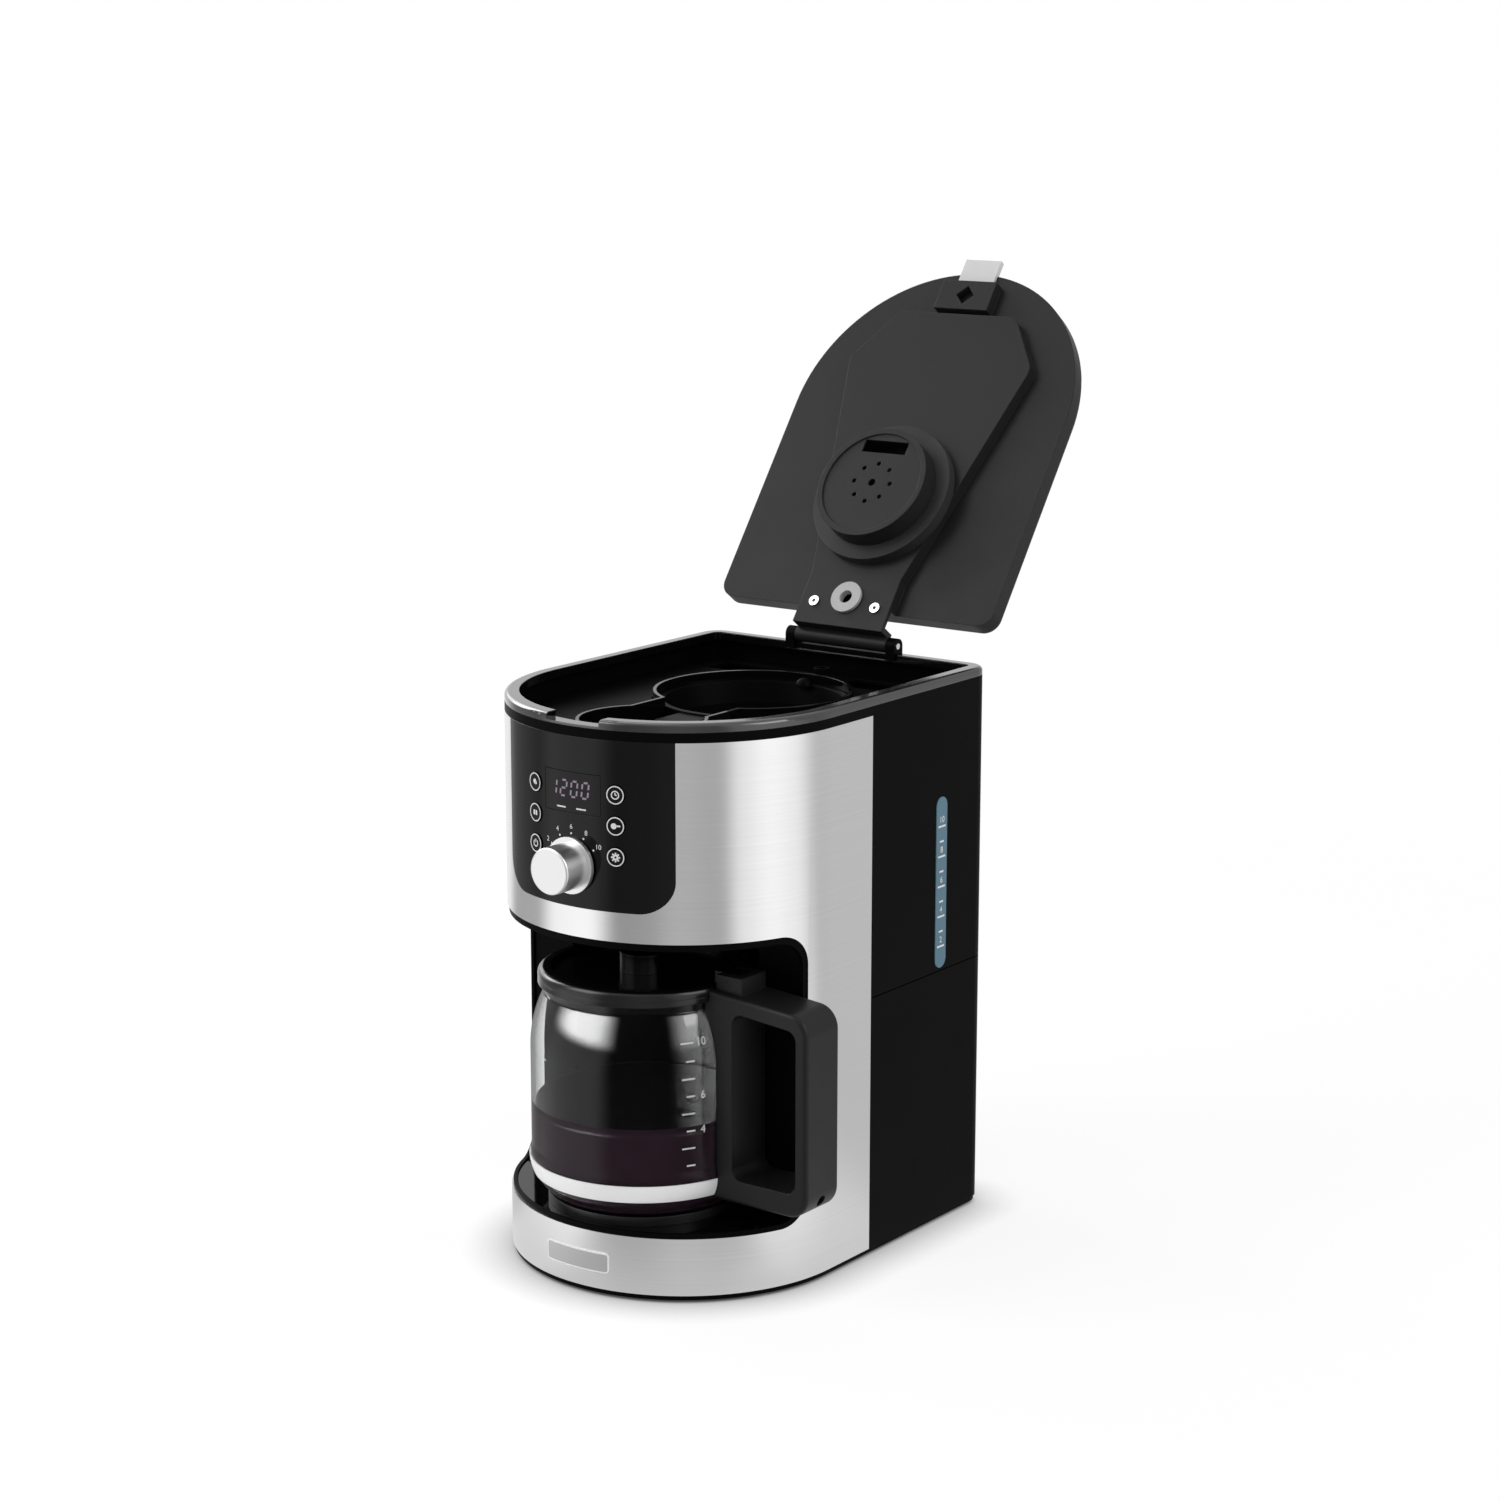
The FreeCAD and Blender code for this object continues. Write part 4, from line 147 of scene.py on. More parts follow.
# Pictograms on the buttons, where a disc is the place of its middle and its radius
ICON_THIN = 0.7 * MM
ICON_THICK = 1.0 * MM
BEAN_LARGE = (-0.2 * MM, 0.3 * MM, 1.5 * MM)
BEAN_SMALL = (0.9 * MM, -0.5 * MM, 1.0 * MM)
CUP_X = 1.1 * MM
CUP_HALF_HEIGHT = 1.5 * MM
CUP_WIDTH = 1.5 * MM
POWER_RADIUS = 2.0 * MM
POWER_ARC = (125, 415)
POWER_BAR_LOW = 0.4 * MM
POWER_BAR_HIGH = 2.6 * MM
CLOCK_RADIUS = 2.3 * MM
CLOCK_LONG_HAND = 1.5 * MM
CLOCK_SHORT_HAND = 1.1 * MM
SCOOP_BOWL = (-1.0 * MM, 0, 1.8 * MM)
SCOOP_HANDLE_START = 0.4 * MM
SCOOP_HANDLE_END = 3.2 * MM
SCOOP_HANDLE_RISE = 0.2 * MM
MILL_RADIUS = 1.3 * MM
MILL_WIDTH = 1.2 * MM
MILL_TEETH = 8
MILL_TOOTH_START = 1.7 * MM
MILL_TOOTH_END = 2.9 * MM

# Base plate, gauge marks and carafe marks
BADGE_Z = 22.0 * MM
BADGE_HALF_WIDTH = 24.0 * MM
BADGE_HALF_HEIGHT = 6.5 * MM
BADGE_CORNER = 2.5 * MM
BADGE_HEIGHT = 0.8 * MM
BADGE_BORDER = 1.1 * MM
BADGE_FIELD_HEIGHT = 1.1 * MM
BADGE_STEPS = 40
GAUGE_TICKS = 9
GAUGE_TICK_LOW = 184.0 * MM
GAUGE_TICK_HIGH = 262.0 * MM
GAUGE_TICK_LONG = 8.0 * MM
GAUGE_TICK_SHORT = 4.4 * MM
GAUGE_TICK_WIDTH = 1.2 * MM
GAUGE_TEXT_SIZE = 5.6 * MM
GAUGE_TEXT_RISE = 4.2 * MM
GAUGE_FIRST_NUMBER = 2
CARAFE_MARK_ANGLE = 64.0
CARAFE_MARKS = 8
CARAFE_MARK_LOW = 83.3 * MM
CARAFE_MARK_HIGH = 159.3 * MM
CARAFE_MARK_LONG = 8.6 * MM
CARAFE_MARK_SHORT = 5.6 * MM
CARAFE_MARK_WIDTH = 1.0 * MM
# Numbers beside some of the carafe's marks, which are counted from the lowest
CARAFE_NUMBERS = {2: "4", 4: "6", 7: "10"}
CARAFE_TEXT_SIZE = 7.0 * MM
CARAFE_NUMBER_X = 5.5 * MM
SCREW_SOCKET_RADIUS = 1.4 * MM
SCREW_SOCKET_SIDES = 6

# Coffee
COFFEE_LEVEL = 106.5 * MM
COFFEE_SINK = 0.2 * MM
COFFEE_RINGS = 16
COFFEE_RING_SPREAD = 1.6
COFFEE_SIDES = 96
COFFEE_MENISCUS = 0.8 * MM

# Finishes
GLASS_IOR = 1.45
EVEN_STRETCH = (1, 1, 1)
NOISE_LOW = 0.2
NOISE_HIGH = 0.8
GRAIN_DETAIL = 4.0
SMUDGE_SCALE = 24.0
SMUDGE_DETAIL = 3.0
EDGE_SAMPLES = 4
WEAVE_SCALE = 320.0
WEAVE_DEPTH = 0.0002
SPUN_SCALE = 4200.0
SPUN_DETAIL = 3.0
SPUN_ROUGHNESS = (0.29, 0.38)
SPUN_DEPTH = 0.00002
SPUN_EDGE = 0.0006
STREAK_SCALE = 40.0
STREAK_STRETCH = (1, 1, 0.2)
STREAK_DETAIL = 2.0
GLOW_SCALE = 700.0
GLOW_DETAIL = 2.0
GLOW_DIMMED = 0.75

# Colour sockets of a Mix node
MIX_FIRST = 6
MIX_SECOND = 7
MIX_RESULT = 2


# Helpers for objects and shader nodes
def new_object(name, data):
    """New object in the scene, round the given mesh, light or camera."""
    made = bpy.data.objects.new(name, data)
    bpy.context.scene.collection.objects.link(made)
    return made


def add(tree, kind, **values):
    """New shader node with its named inputs set; an underscore in a name stands for a space."""
    made = tree.nodes.new(kind)
    for key, value in values.items():
        made.inputs[key.replace("_", " ")].default_value = value
    return made


def blank(name, **values):
    """New material and its shader, with values set on the shader's own sockets."""
    material = bpy.data.materials.new(name)
    material.use_nodes = True
    shader = material.node_tree.nodes["Principled BSDF"]
    for key, value in values.items():
        shader.inputs[key.replace("_", " ")].default_value = value
    return material, material.node_tree, shader


def math_node(tree, operation, *values):
    """Math node; each value is a number or a socket."""
    made = tree.nodes.new("ShaderNodeMath")
    made.operation = operation
    for socket, value in zip(made.inputs, values):
        if isinstance(value, (int, float)):
            socket.default_value = value
        else:
            tree.links.new(value, socket)
    return made.outputs[0]


def vector_length(tree, vector):
    made = tree.nodes.new("ShaderNodeVectorMath")
    made.operation = "LENGTH"
    tree.links.new(vector, made.inputs[0])
    return made.outputs["Value"]


def noise(tree, scale, stretch, detail):
    place = add(tree, "ShaderNodeTexCoord")
    mapping = add(tree, "ShaderNodeMapping", Scale=[scale * part for part in stretch])
    tree.links.new(place.outputs["Object"], mapping.inputs["Vector"])
    texture = add(tree, "ShaderNodeTexNoise", Scale=1.0, Detail=detail)
    tree.links.new(mapping.outputs["Vector"], texture.inputs["Vector"])
    return texture.outputs["Fac"]


def grey(level):
    return (level, level, level)


def mixed(tree, factor, first, second):
    """Blend of two colours, each a socket, a grey level or three levels."""
    mix = tree.nodes.new("ShaderNodeMix")
    mix.data_type = "RGBA"
    tree.links.new(factor, mix.inputs["Factor"])
    for place, value in ((MIX_FIRST, first), (MIX_SECOND, second)):
        if isinstance(value, (int, float)):
            value = grey(value)
        if isinstance(value, (tuple, list)):
            mix.inputs[place].default_value = (*value, 1)
        else:
            tree.links.new(value, mix.inputs[place])
    return mix.outputs[MIX_RESULT]


def vary_colour(tree, factor, colour, shade, socket):
    tree.links.new(mixed(tree, factor, colour, shade), socket)


def vary_value(tree, factor, low, high, socket):
    spread = add(tree, "ShaderNodeMapRange", From_Min=NOISE_LOW, From_Max=NOISE_HIGH, To_Min=low, To_Max=high)
    spread.interpolation_type = "SMOOTHERSTEP"
    tree.links.new(factor, spread.inputs["Value"])
    tree.links.new(spread.outputs["Result"], socket)


def roughen(tree, shader, height, depth, edge):
    """Bump of the given depth, over edges softened by a small radius."""
    bump = add(tree, "ShaderNodeBump", Strength=1.0, Distance=depth)
    tree.links.new(height, bump.inputs["Height"])
    if edge:
        bevel = tree.nodes.new("ShaderNodeBevel")
        bevel.samples = EDGE_SAMPLES
        bevel.inputs["Radius"].default_value = edge
        tree.links.new(bevel.outputs["Normal"], bump.inputs["Normal"])
    tree.links.new(bump.outputs["Normal"], shader.inputs["Normal"])


def surface(name, colour, shade, rough, scale, stretch=EVEN_STRETCH, depth=0.0, edge=0.0, **values):
    """Moulded, cast or brushed finish: fine grain in colour and bump, broad smudges in roughness."""
    material, tree, shader = blank(name, **values)
    grain = noise(tree, scale, stretch, GRAIN_DETAIL)
    smudge = noise(tree, SMUDGE_SCALE, EVEN_STRETCH, SMUDGE_DETAIL)
    vary_colour(tree, grain, colour, shade, shader.inputs["Base Color"])
    vary_value(tree, smudge, rough[0], rough[1], shader.inputs["Roughness"])
    roughen(tree, shader, grain, depth, edge)
    return material


# Materials by the record's slots
def woven_steel(name):
    """Fine wire cloth: warp and weft bands in bump and colour."""
    material, tree, shader = blank(name, Metallic=0.85, Roughness=0.42)
    place = add(tree, "ShaderNodeTexCoord")
    bands = []
    for direction in ("X", "Z"):
        wave = add(tree, "ShaderNodeTexWave", Scale=WEAVE_SCALE)
        wave.bands_direction = direction
        tree.links.new(place.outputs["Object"], wave.inputs["Vector"])
        bands.append(wave.outputs["Fac"])
    cross = math_node(tree, "MULTIPLY", *bands)
    vary_colour(tree, cross, grey(0.62), grey(0.30), shader.inputs["Base Color"])
    roughen(tree, shader, cross, WEAVE_DEPTH, 0.0)
    return material


def spun_metal(name):
    """Turned knob: fine rings about the knob's own axis."""
    material, tree, shader = blank(name, Metallic=1.0, Anisotropic=0.4)
    low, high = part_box("knob")
    middle = (low + high) / 2
    place = add(tree, "ShaderNodeTexCoord")
    flat = add(tree, "ShaderNodeMapping", Location=(-middle.x, 0, -middle.z), Scale=(1, 0, 1))
    tree.links.new(place.outputs["Object"], flat.inputs["Vector"])
    rings = add(tree, "ShaderNodeTexNoise", Scale=SPUN_SCALE, Detail=SPUN_DETAIL)
    rings.noise_dimensions = "1D"
    tree.links.new(vector_length(tree, flat.outputs["Vector"]), rings.inputs["W"])
    vary_colour(tree, rings.outputs["Fac"], grey(0.74), grey(0.81), shader.inputs["Base Color"])
    vary_value(tree, rings.outputs["Fac"], *SPUN_ROUGHNESS, shader.inputs["Roughness"])
    roughen(tree, shader, rings.outputs["Fac"], SPUN_DEPTH, SPUN_EDGE)
    return material


def clear_glass(name, colour, shade):
    """Clear polished wall, with faint upright streaks in its tint."""
    material, tree, shader = blank(name, Roughness=0.0, Transmission_Weight=1.0, IOR=GLASS_IOR)
    streaks = noise(tree, STREAK_SCALE, STREAK_STRETCH, STREAK_DETAIL)
    vary_colour(tree, streaks, colour, shade, shader.inputs["Base Color"])
    return material


def glowing(name, colour, strength):
    """Lit mark, a little uneven as segments are."""
    material, tree, shader = blank(
        name, Base_Color=(0.05, 0.04, 0.05, 1), Roughness=0.3, Emission_Strength=strength)
    unevenness = noise(tree, GLOW_SCALE, EVEN_STRETCH, GLOW_DETAIL)
    dimmed = [GLOW_DIMMED * part for part in colour]
    vary_colour(tree, unevenness, colour, dimmed, shader.inputs["Emission Color"])
    return material


MATERIALS = {
    "brushed_steel": surface(
        "brushed_steel", grey(0.70), grey(0.76), (0.22, 0.265), 900.0, (0.008, 0.008, 1),
        depth=0.0000012, Metallic=1.0, Anisotropic=0.8, Anisotropic_Rotation=0.25),
    "black_gloss": surface(
        "black_gloss", grey(0.0022), grey(0.003), (0.05, 0.09), 300.0, depth=0.000001, edge=0.0006,
        Specular_IOR_Level=0.26),
    "black_satin": surface(
        "black_satin", grey(0.0022), grey(0.0030), (0.34, 0.44), 2400.0, depth=0.00003, edge=0.0008,
        Specular_IOR_Level=0.025),
    "dark_plastic": surface(
        "dark_plastic", grey(0.0155), grey(0.0190), (0.38, 0.48), 2400.0, depth=0.00003, edge=0.0008,
        Specular_IOR_Level=0.16),
    "inner_plastic": surface(
        "inner_plastic", grey(0.007), grey(0.010), (0.30, 0.42), 1800.0, depth=0.00002, edge=0.0006,
        Specular_IOR_Level=0.30),
    "rubber": surface("rubber", grey(0.012), grey(0.018), (0.65, 0.8), 1500.0, depth=0.00005, edge=0.0005),
    "silicone": surface("silicone", grey(0.42), grey(0.50), (0.38, 0.5), 900.0, depth=0.00003, edge=0.0005),
    "screw_steel": surface(
        "screw_steel", grey(0.72), grey(0.80), (0.18, 0.26), 1800.0, depth=0.00001, edge=0.0003,
        Metallic=1.0),
    "aluminium": spun_metal("aluminium"),
    "motor_steel": surface(
        "motor_steel", grey(0.30), grey(0.36), (0.3, 0.45), 600.0, depth=0.00003, edge=0.0006, Metallic=1.0),
    "tank_plastic": surface(
        "tank_plastic", grey(0.012), grey(0.016), (0.2, 0.26), 500.0, depth=0.00001, edge=0.0006),
    "gauge_clear": surface(
        "gauge_clear", (0.09, 0.18, 0.24), (0.15, 0.26, 0.34), (0.10, 0.18), 14.0, (1, 1, 0.4),
        depth=0.000004, edge=0.001, Specular_IOR_Level=0.15),
    "display_dark": surface(
        "display_dark", (0.0026, 0.0020, 0.0026), (0.0034, 0.0026, 0.0034), (0.05, 0.09), 40.0,
        depth=0.000002, Specular_IOR_Level=0.22),
    "circuit_board": surface(
        "circuit_board", (0.02, 0.13, 0.05), (0.03, 0.16, 0.07), (0.35, 0.5), 350.0,
        depth=0.00003, edge=0.0003),
    "filter_mesh": woven_steel("filter_mesh"),
    "carafe_glass": clear_glass("carafe_glass", (0.985, 0.99, 0.99), (0.965, 0.975, 0.975)),
    "pale_grey": surface("pale_grey", grey(0.62), grey(0.68), (0.3, 0.4), 1500.0, depth=0.00002, edge=0.0006),
    "plate_coating": surface(
        "plate_coating", grey(0.006), grey(0.010), (0.29, 0.36), 1600.0, depth=0.00002, edge=0.0008),
}
INK = surface("printed_ink", grey(0.72), grey(0.80), (0.45, 0.55), 1500.0, depth=0.00001)
# Near-black discs on the lid's screw heads: painted shade in place of the shade inside each screw's socket
SOCKET_PAINTED_SHADE = surface("socket_painted_shade", grey(0.010), grey(0.016), (0.5, 0.6), 1500.0, depth=0.00001)
GLOW = glowing("display_glow", (0.46, 0.33, 0.46), 0.5)
# One liquid in two copies: the sides in a lighter colour as painted light, the top far darker as painted shade
COFFEE_LIT_SIDE = surface(
    "coffee", (0.030, 0.0165, 0.025), (0.038, 0.022, 0.032), (0.04, 0.07), 60.0, depth=0.000002,
    Specular_IOR_Level=0.1)
COFFEE_SHADED_TOP = surface(
    "coffee_shaded_top", (0.005, 0.0032, 0.0046), (0.007, 0.0045, 0.0062), (0.04, 0.07), 60.0, depth=0.000002,
    Specular_IOR_Level=0.1)
PANEL_GLOSS = surface(
    "panel_gloss", grey(0.0020), grey(0.0028), (0.05, 0.09), 300.0, depth=0.000001, edge=0.0006,
    Specular_IOR_Level=0.22)
RIM_GLOSS = surface(
    "rim_gloss", grey(0.0022), grey(0.0034), (0.12, 0.18), 900.0, depth=0.000004, edge=0.0012,
    Specular_IOR_Level=0.5, Coat_Weight=0.6, Coat_Roughness=0.1, Coat_IOR=1.8)
HANDLE_SATIN = surface(
    "handle_satin", grey(0.0085), grey(0.0110), (0.36, 0.46), 2400.0, depth=0.00003, edge=0.0010,
    Specular_IOR_Level=0.22)
LID_GLOSS = surface(
    "lid_gloss", grey(0.0024), grey(0.0034), (0.16, 0.24), 1600.0, depth=0.00001, edge=0.0010,
    Specular_IOR_Level=0.45)
# Near-white, barely metallic steel for the carafe's strap and the badge's border: its brightness is a painted
# sheen in place of the bright reflection a steel band shows
STRAP_STEEL_PAINTED_SHEEN = surface(
    "strap_steel_painted_sheen", grey(0.93), grey(0.97), (0.40, 0.48), 2600.0, (0.003, 0.003, 1),
    depth=0.000002, edge=0.0003, Metallic=0.15)
BADGE_SATIN = surface(
    "badge_satin", grey(0.52), grey(0.58), (0.42, 0.5), 1800.0, depth=0.000002, Metallic=1.0)
DARK_STEEL = surface(
    "dark_steel", grey(0.020), grey(0.030), (0.30, 0.40), 1500.0, depth=0.00001, edge=0.0003, Metallic=1.0)
NODE_FINISHES = {
    "control_panel": PANEL_GLOSS, "top_rim": RIM_GLOSS, "carafe_handle": HANDLE_SATIN,
    "carafe_collar": LID_GLOSS, "carafe_lid": LID_GLOSS, "carafe_strap": STRAP_STEEL_PAINTED_SHEEN,
    "carafe_lid_pin": DARK_STEEL, "handle_screw": DARK_STEEL, "brew_well": LID_GLOSS,
}


def dress_nodes():
    """Gives every CAD node its own finish, or else the finish that its record slot names."""
    for subpart in frame["record"]["subparts"]:
        name = subpart["node"]
        finish = NODE_FINISHES.get(name, MATERIALS[subpart["material_slot"]])
        NODES[name].data.materials.clear()
        NODES[name].data.materials.append(finish)


# Flat mark shapes, each a list of outlines in the plane of the mark
def disc(x, y, radius, sides=28):
    turns = [2 * math.pi * i / sides for i in range(sides)]
    return [[(x + radius * math.cos(turn), y + radius * math.sin(turn)) for turn in turns]]


def arc(x, y, radius, width, start=0.0, end=360.0, steps=48):
    """Curved band about x, y, from one angle to another, as quads."""
    def spot(i, distance):
        turn = math.radians(start + (end - start) * i / steps)
        return x + distance * math.cos(turn), y + distance * math.sin(turn)

    inner, outer = radius - width / 2, radius + width / 2
    return [[spot(i, inner), spot(i, outer), spot(i + 1, outer), spot(i + 1, inner)] for i in range(steps)]


def bar(x0, y0, x1, y1, width):
    """Straight band between two points."""
    along = Vector((x1 - x0, y1 - y0)).normalized() * (width / 2)
    side_x, side_y = -along.y, along.x
    return [[(x0 - side_x, y0 - side_y), (x1 - side_x, y1 - side_y),
             (x1 + side_x, y1 + side_y), (x0 + side_x, y0 + side_y)]]


def number(text, x, y, size):
    """Outlines of plain numerals, centred on x, y."""
    curve = bpy.data.curves.new("numeral", "FONT")
    curve.body = text
    curve.size = size
    curve.align_x = "CENTER"
    curve.align_y = "CENTER"
    carrier = bpy.data.objects.new("numeral", curve)
    mesh = bpy.data.meshes.new_from_object(carrier)
    shapes = []
    for polygon in mesh.polygons:
        corners = [mesh.vertices[i].co for i in polygon.vertices]
        shapes.append([(x + corner.x, y + corner.y) for corner in corners])
    bpy.data.objects.remove(carrier)
    bpy.data.meshes.remove(mesh)
    bpy.data.curves.remove(curve)
    return shapes


def make_marks(name, shapes, place, material, body, height=MARK_HEIGHT):
    """Thin solid marks laid on a surface, where place turns a flat point into a point in space."""
    shell = bmesh.new()
    for shape in shapes:
        shell.faces.new([shell.verts.new(place(u, v)) for u, v in shape])
    bmesh.ops.remove_doubles(shell, verts=shell.verts, dist=MARK_WELD)
    mesh = bpy.data.meshes.new(name)
    shell.to_mesh(mesh)
    shell.free()
    mesh.materials.append(material)
    piece = new_object(name, mesh)
    thick = piece.modifiers.new("thickness", "SOLIDIFY")
    thick.thickness = height
    thick.offset = 1.0
    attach(piece, body)


# Places on the machine
def on_front(u, v):
    """Point on the round front, u along the curve and v upwards."""
    turn = u / FRONT_RADIUS
    radius = FRONT_RADIUS - MARK_SINK
    return Vector((radius * math.sin(turn), FRONT_CENTRE_Y - radius * math.cos(turn), v))


def on_button(name):
    """Place on the flat face of one button, measured from its middle."""
    low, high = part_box(name)
    middle = (low + high) / 2
    inward = Vector(JOINTS[name + "_press"]["axis"]).normalized()
    right = inward.cross(Vector((0, 0, 1))).normalized()
    reach = max((corner.co - middle).dot(-inward) for corner in NODES[name].data.vertices)
    face = middle - inward * (reach - MARK_SINK)
    return lambda u, v: face + right * u + Vector((0, 0, v))


def on_gauge(u, v):
    return Vector((GAUGE_HIGH.x - MARK_SINK, (GAUGE_LOW.y + GAUGE_HIGH.y) / 2 + u, v))


def on_carafe(u, v):
    """Point on the carafe's outside, u along its side from where the marks end and v upwards."""
    axis = Vector(((GLASS_LOW.x + GLASS_HIGH.x) / 2, (GLASS_LOW.y + GLASS_HIGH.y) / 2, v))
    radius = (GLASS_HIGH.x - GLASS_LOW.x) / 2
    turn = math.radians(CARAFE_MARK_ANGLE) + u / radius
    outward = Vector((math.sin(turn), -math.cos(turn), 0))
    _, spot, _, _ = NODES["carafe_glass"].ray_cast(axis + outward * 2 * radius, -outward)
    return spot - outward * MARK_SINK


# Pictograms for the buttons
def bean():
    return disc(*BEAN_LARGE) + disc(*BEAN_SMALL)


def two_cups():
    shapes = []
    for x in (-CUP_X, CUP_X):
        shapes += bar(x, -CUP_HALF_HEIGHT, x, CUP_HALF_HEIGHT, CUP_WIDTH)
    return shapes


def power():
    ring = arc(0, 0, POWER_RADIUS, ICON_THIN, *POWER_ARC)
    return ring + bar(0, POWER_BAR_LOW, 0, POWER_BAR_HIGH, ICON_THIN)


def clock():
    hands = bar(0, 0, 0, CLOCK_LONG_HAND, ICON_THIN) + bar(0, 0, CLOCK_SHORT_HAND, 0, ICON_THIN)
    return arc(0, 0, CLOCK_RADIUS, ICON_THIN) + hands


def scoop():
    handle = bar(SCOOP_HANDLE_START, SCOOP_HANDLE_RISE, SCOOP_HANDLE_END, SCOOP_HANDLE_RISE, ICON_THICK)
    return disc(*SCOOP_BOWL) + handle


def mill():
    """Toothed wheel."""
    shapes = arc(0, 0, MILL_RADIUS, MILL_WIDTH)
    for i in range(MILL_TEETH):
        turn = math.radians(360 / MILL_TEETH * i)
        way = Vector((math.cos(turn), math.sin(turn)))
        shapes += bar(*(way * MILL_TOOTH_START), *(way * MILL_TOOTH_END), ICON_THICK)
    return shapes


PICTOGRAMS = {
    "button_upper_left": bean, "button_middle_left": two_cups, "button_lower_left": power,
    "button_upper_right": clock, "button_middle_right": scoop, "button_lower_right": mill,
}


def mark_buttons():
    for name, pictogram in PICTOGRAMS.items():
        shapes = arc(0, 0, BUTTON_RING_RADIUS, BUTTON_RING_WIDTH) + pictogram()
        make_marks("mark_" + name, shapes, on_button(name), INK, name)


# Display and dial
def digit_segments(letter, x):
    """Seven-segment strokes of one digit, leaning a little to the right."""
    half_width = (DIGIT_WIDTH - DIGIT_STROKE) / 2
    half_height = (DIGIT_HEIGHT - DIGIT_STROKE) / 2
    gap = DIGIT_GAP + DIGIT_STROKE / 2
    level = {"a": half_height, "g": 0.0, "d": -half_height}
    side = {"f": (-1, 1), "b": (1, 1), "e": (-1, -1), "c": (1, -1)}
    shapes = []
    for segment in SEGMENTS[letter]:
        if segment in level:
            y = level[segment]
            shapes += bar(gap - half_width, y, half_width - gap, y, DIGIT_STROKE)
        else:
            where_x, where_y = side[segment]
            ends = sorted((where_y * gap, where_y * (half_height - gap)))
            shapes += bar(where_x * half_width, ends[0], where_x * half_width, ends[1], DIGIT_STROKE)
    return [[(x + u + v * DIGIT_SLANT, DIGIT_MIDDLE_Z + v) for u, v in shape] for shape in shapes]


def mark_display():
    shapes = []
    first = -DIGIT_STEP * (len(DIGIT_TEXT) - 1) / 2 + DIGIT_SHIFT
    for i, letter in enumerate(DIGIT_TEXT):
        shapes += digit_segments(letter, first + DIGIT_STEP * i)
    make_marks("display_digits", shapes, on_front, GLOW, "body")
    dashes = []
    for x in (-DASH_X, DASH_X):
        dashes += bar(x - DASH_LENGTH / 2, DASH_Z, x + DASH_LENGTH / 2, DASH_Z, DASH_WIDTH)
    make_marks("display_dashes", dashes, on_front, INK, "body")


def mark_dial():
    low, high = JOINTS["knob_turn"]["range_deg"]
    middle_z = JOINTS["knob_turn"]["pos_m"][2]
    shapes = []
    for i, text in enumerate(DIAL_NUMBERS):
        turn = math.radians(low + (high - low) * i / (len(DIAL_NUMBERS) - 1))
        way_x, way_z = math.sin(turn), math.cos(turn)
        shapes += number(text, way_x * DIAL_RADIUS, middle_z + way_z * DIAL_RADIUS, DIAL_TEXT_SIZE)
        dot_x, dot_z = way_x * DIAL_DOT_CIRCLE, middle_z + way_z * DIAL_DOT_CIRCLE
        shapes += disc(dot_x, dot_z, DIAL_DOT_RADIUS, DIAL_DOT_SIDES)
    make_marks("dial_numbers", shapes, on_front, INK, "body")


# Base plate, gauge and carafe
def plate_shapes(inset):
    """Plate with rounded corners, its outline drawn in by the inset, as upright strips."""
    half_width = BADGE_HALF_WIDTH - inset
    half_height = BADGE_HALF_HEIGHT - inset
    corner = BADGE_CORNER - inset

    def height(u):
        short = max(corner - (half_width - abs(u)), 0)
        return half_height - corner + math.sqrt(max(corner ** 2 - short ** 2, 0))

    shapes = []
    for i in range(BADGE_STEPS):
        u0 = half_width * math.sin(math.pi * (i / BADGE_STEPS - 0.5))
        u1 = half_width * math.sin(math.pi * ((i + 1) / BADGE_STEPS - 0.5))
        h0, h1 = height(u0), height(u1)
        shapes.append([(u0, BADGE_Z - h0), (u1, BADGE_Z - h1), (u1, BADGE_Z + h1), (u0, BADGE_Z + h0)])
    return shapes


def badge_plate():
    """Bare plate on the base, bent to the round front, with a satin field inside a bright border, whose near-white
    colour is a painted sheen.
    """
    make_marks("badge_plate", plate_shapes(0), on_front, STRAP_STEEL_PAINTED_SHEEN, "body", BADGE_HEIGHT)
    make_marks(
        "badge_field", plate_shapes(BADGE_BORDER), on_front, BADGE_SATIN, "body",
        BADGE_FIELD_HEIGHT)


def mark_gauge():
    shapes = []
    step = (GAUGE_TICK_HIGH - GAUGE_TICK_LOW) / (GAUGE_TICKS - 1)
    for i in range(GAUGE_TICKS):
        z = GAUGE_TICK_LOW + step * i
        long_tick = i % 2 == 0
        half = (GAUGE_TICK_LONG if long_tick else GAUGE_TICK_SHORT) / 2
        shapes += bar(-half, z, half, z, GAUGE_TICK_WIDTH)
        if long_tick:
            shapes += number(str(GAUGE_FIRST_NUMBER + i), 0, z + GAUGE_TEXT_RISE, GAUGE_TEXT_SIZE)
    make_marks("gauge_marks", shapes, on_gauge, INK, "body")


def mark_carafe():
    shapes = []
    step = (CARAFE_MARK_HIGH - CARAFE_MARK_LOW) / (CARAFE_MARKS - 1)
    for i in range(CARAFE_MARKS):
        z = CARAFE_MARK_LOW + step * i
        length = CARAFE_MARK_LONG if i % 2 else CARAFE_MARK_SHORT
        shapes += bar(-length, z, 0, z, CARAFE_MARK_WIDTH)
        if i in CARAFE_NUMBERS:
            shapes += number(CARAFE_NUMBERS[i], CARAFE_NUMBER_X, z, CARAFE_TEXT_SIZE)
    make_marks("carafe_marks", shapes, on_carafe, INK, "carafe")


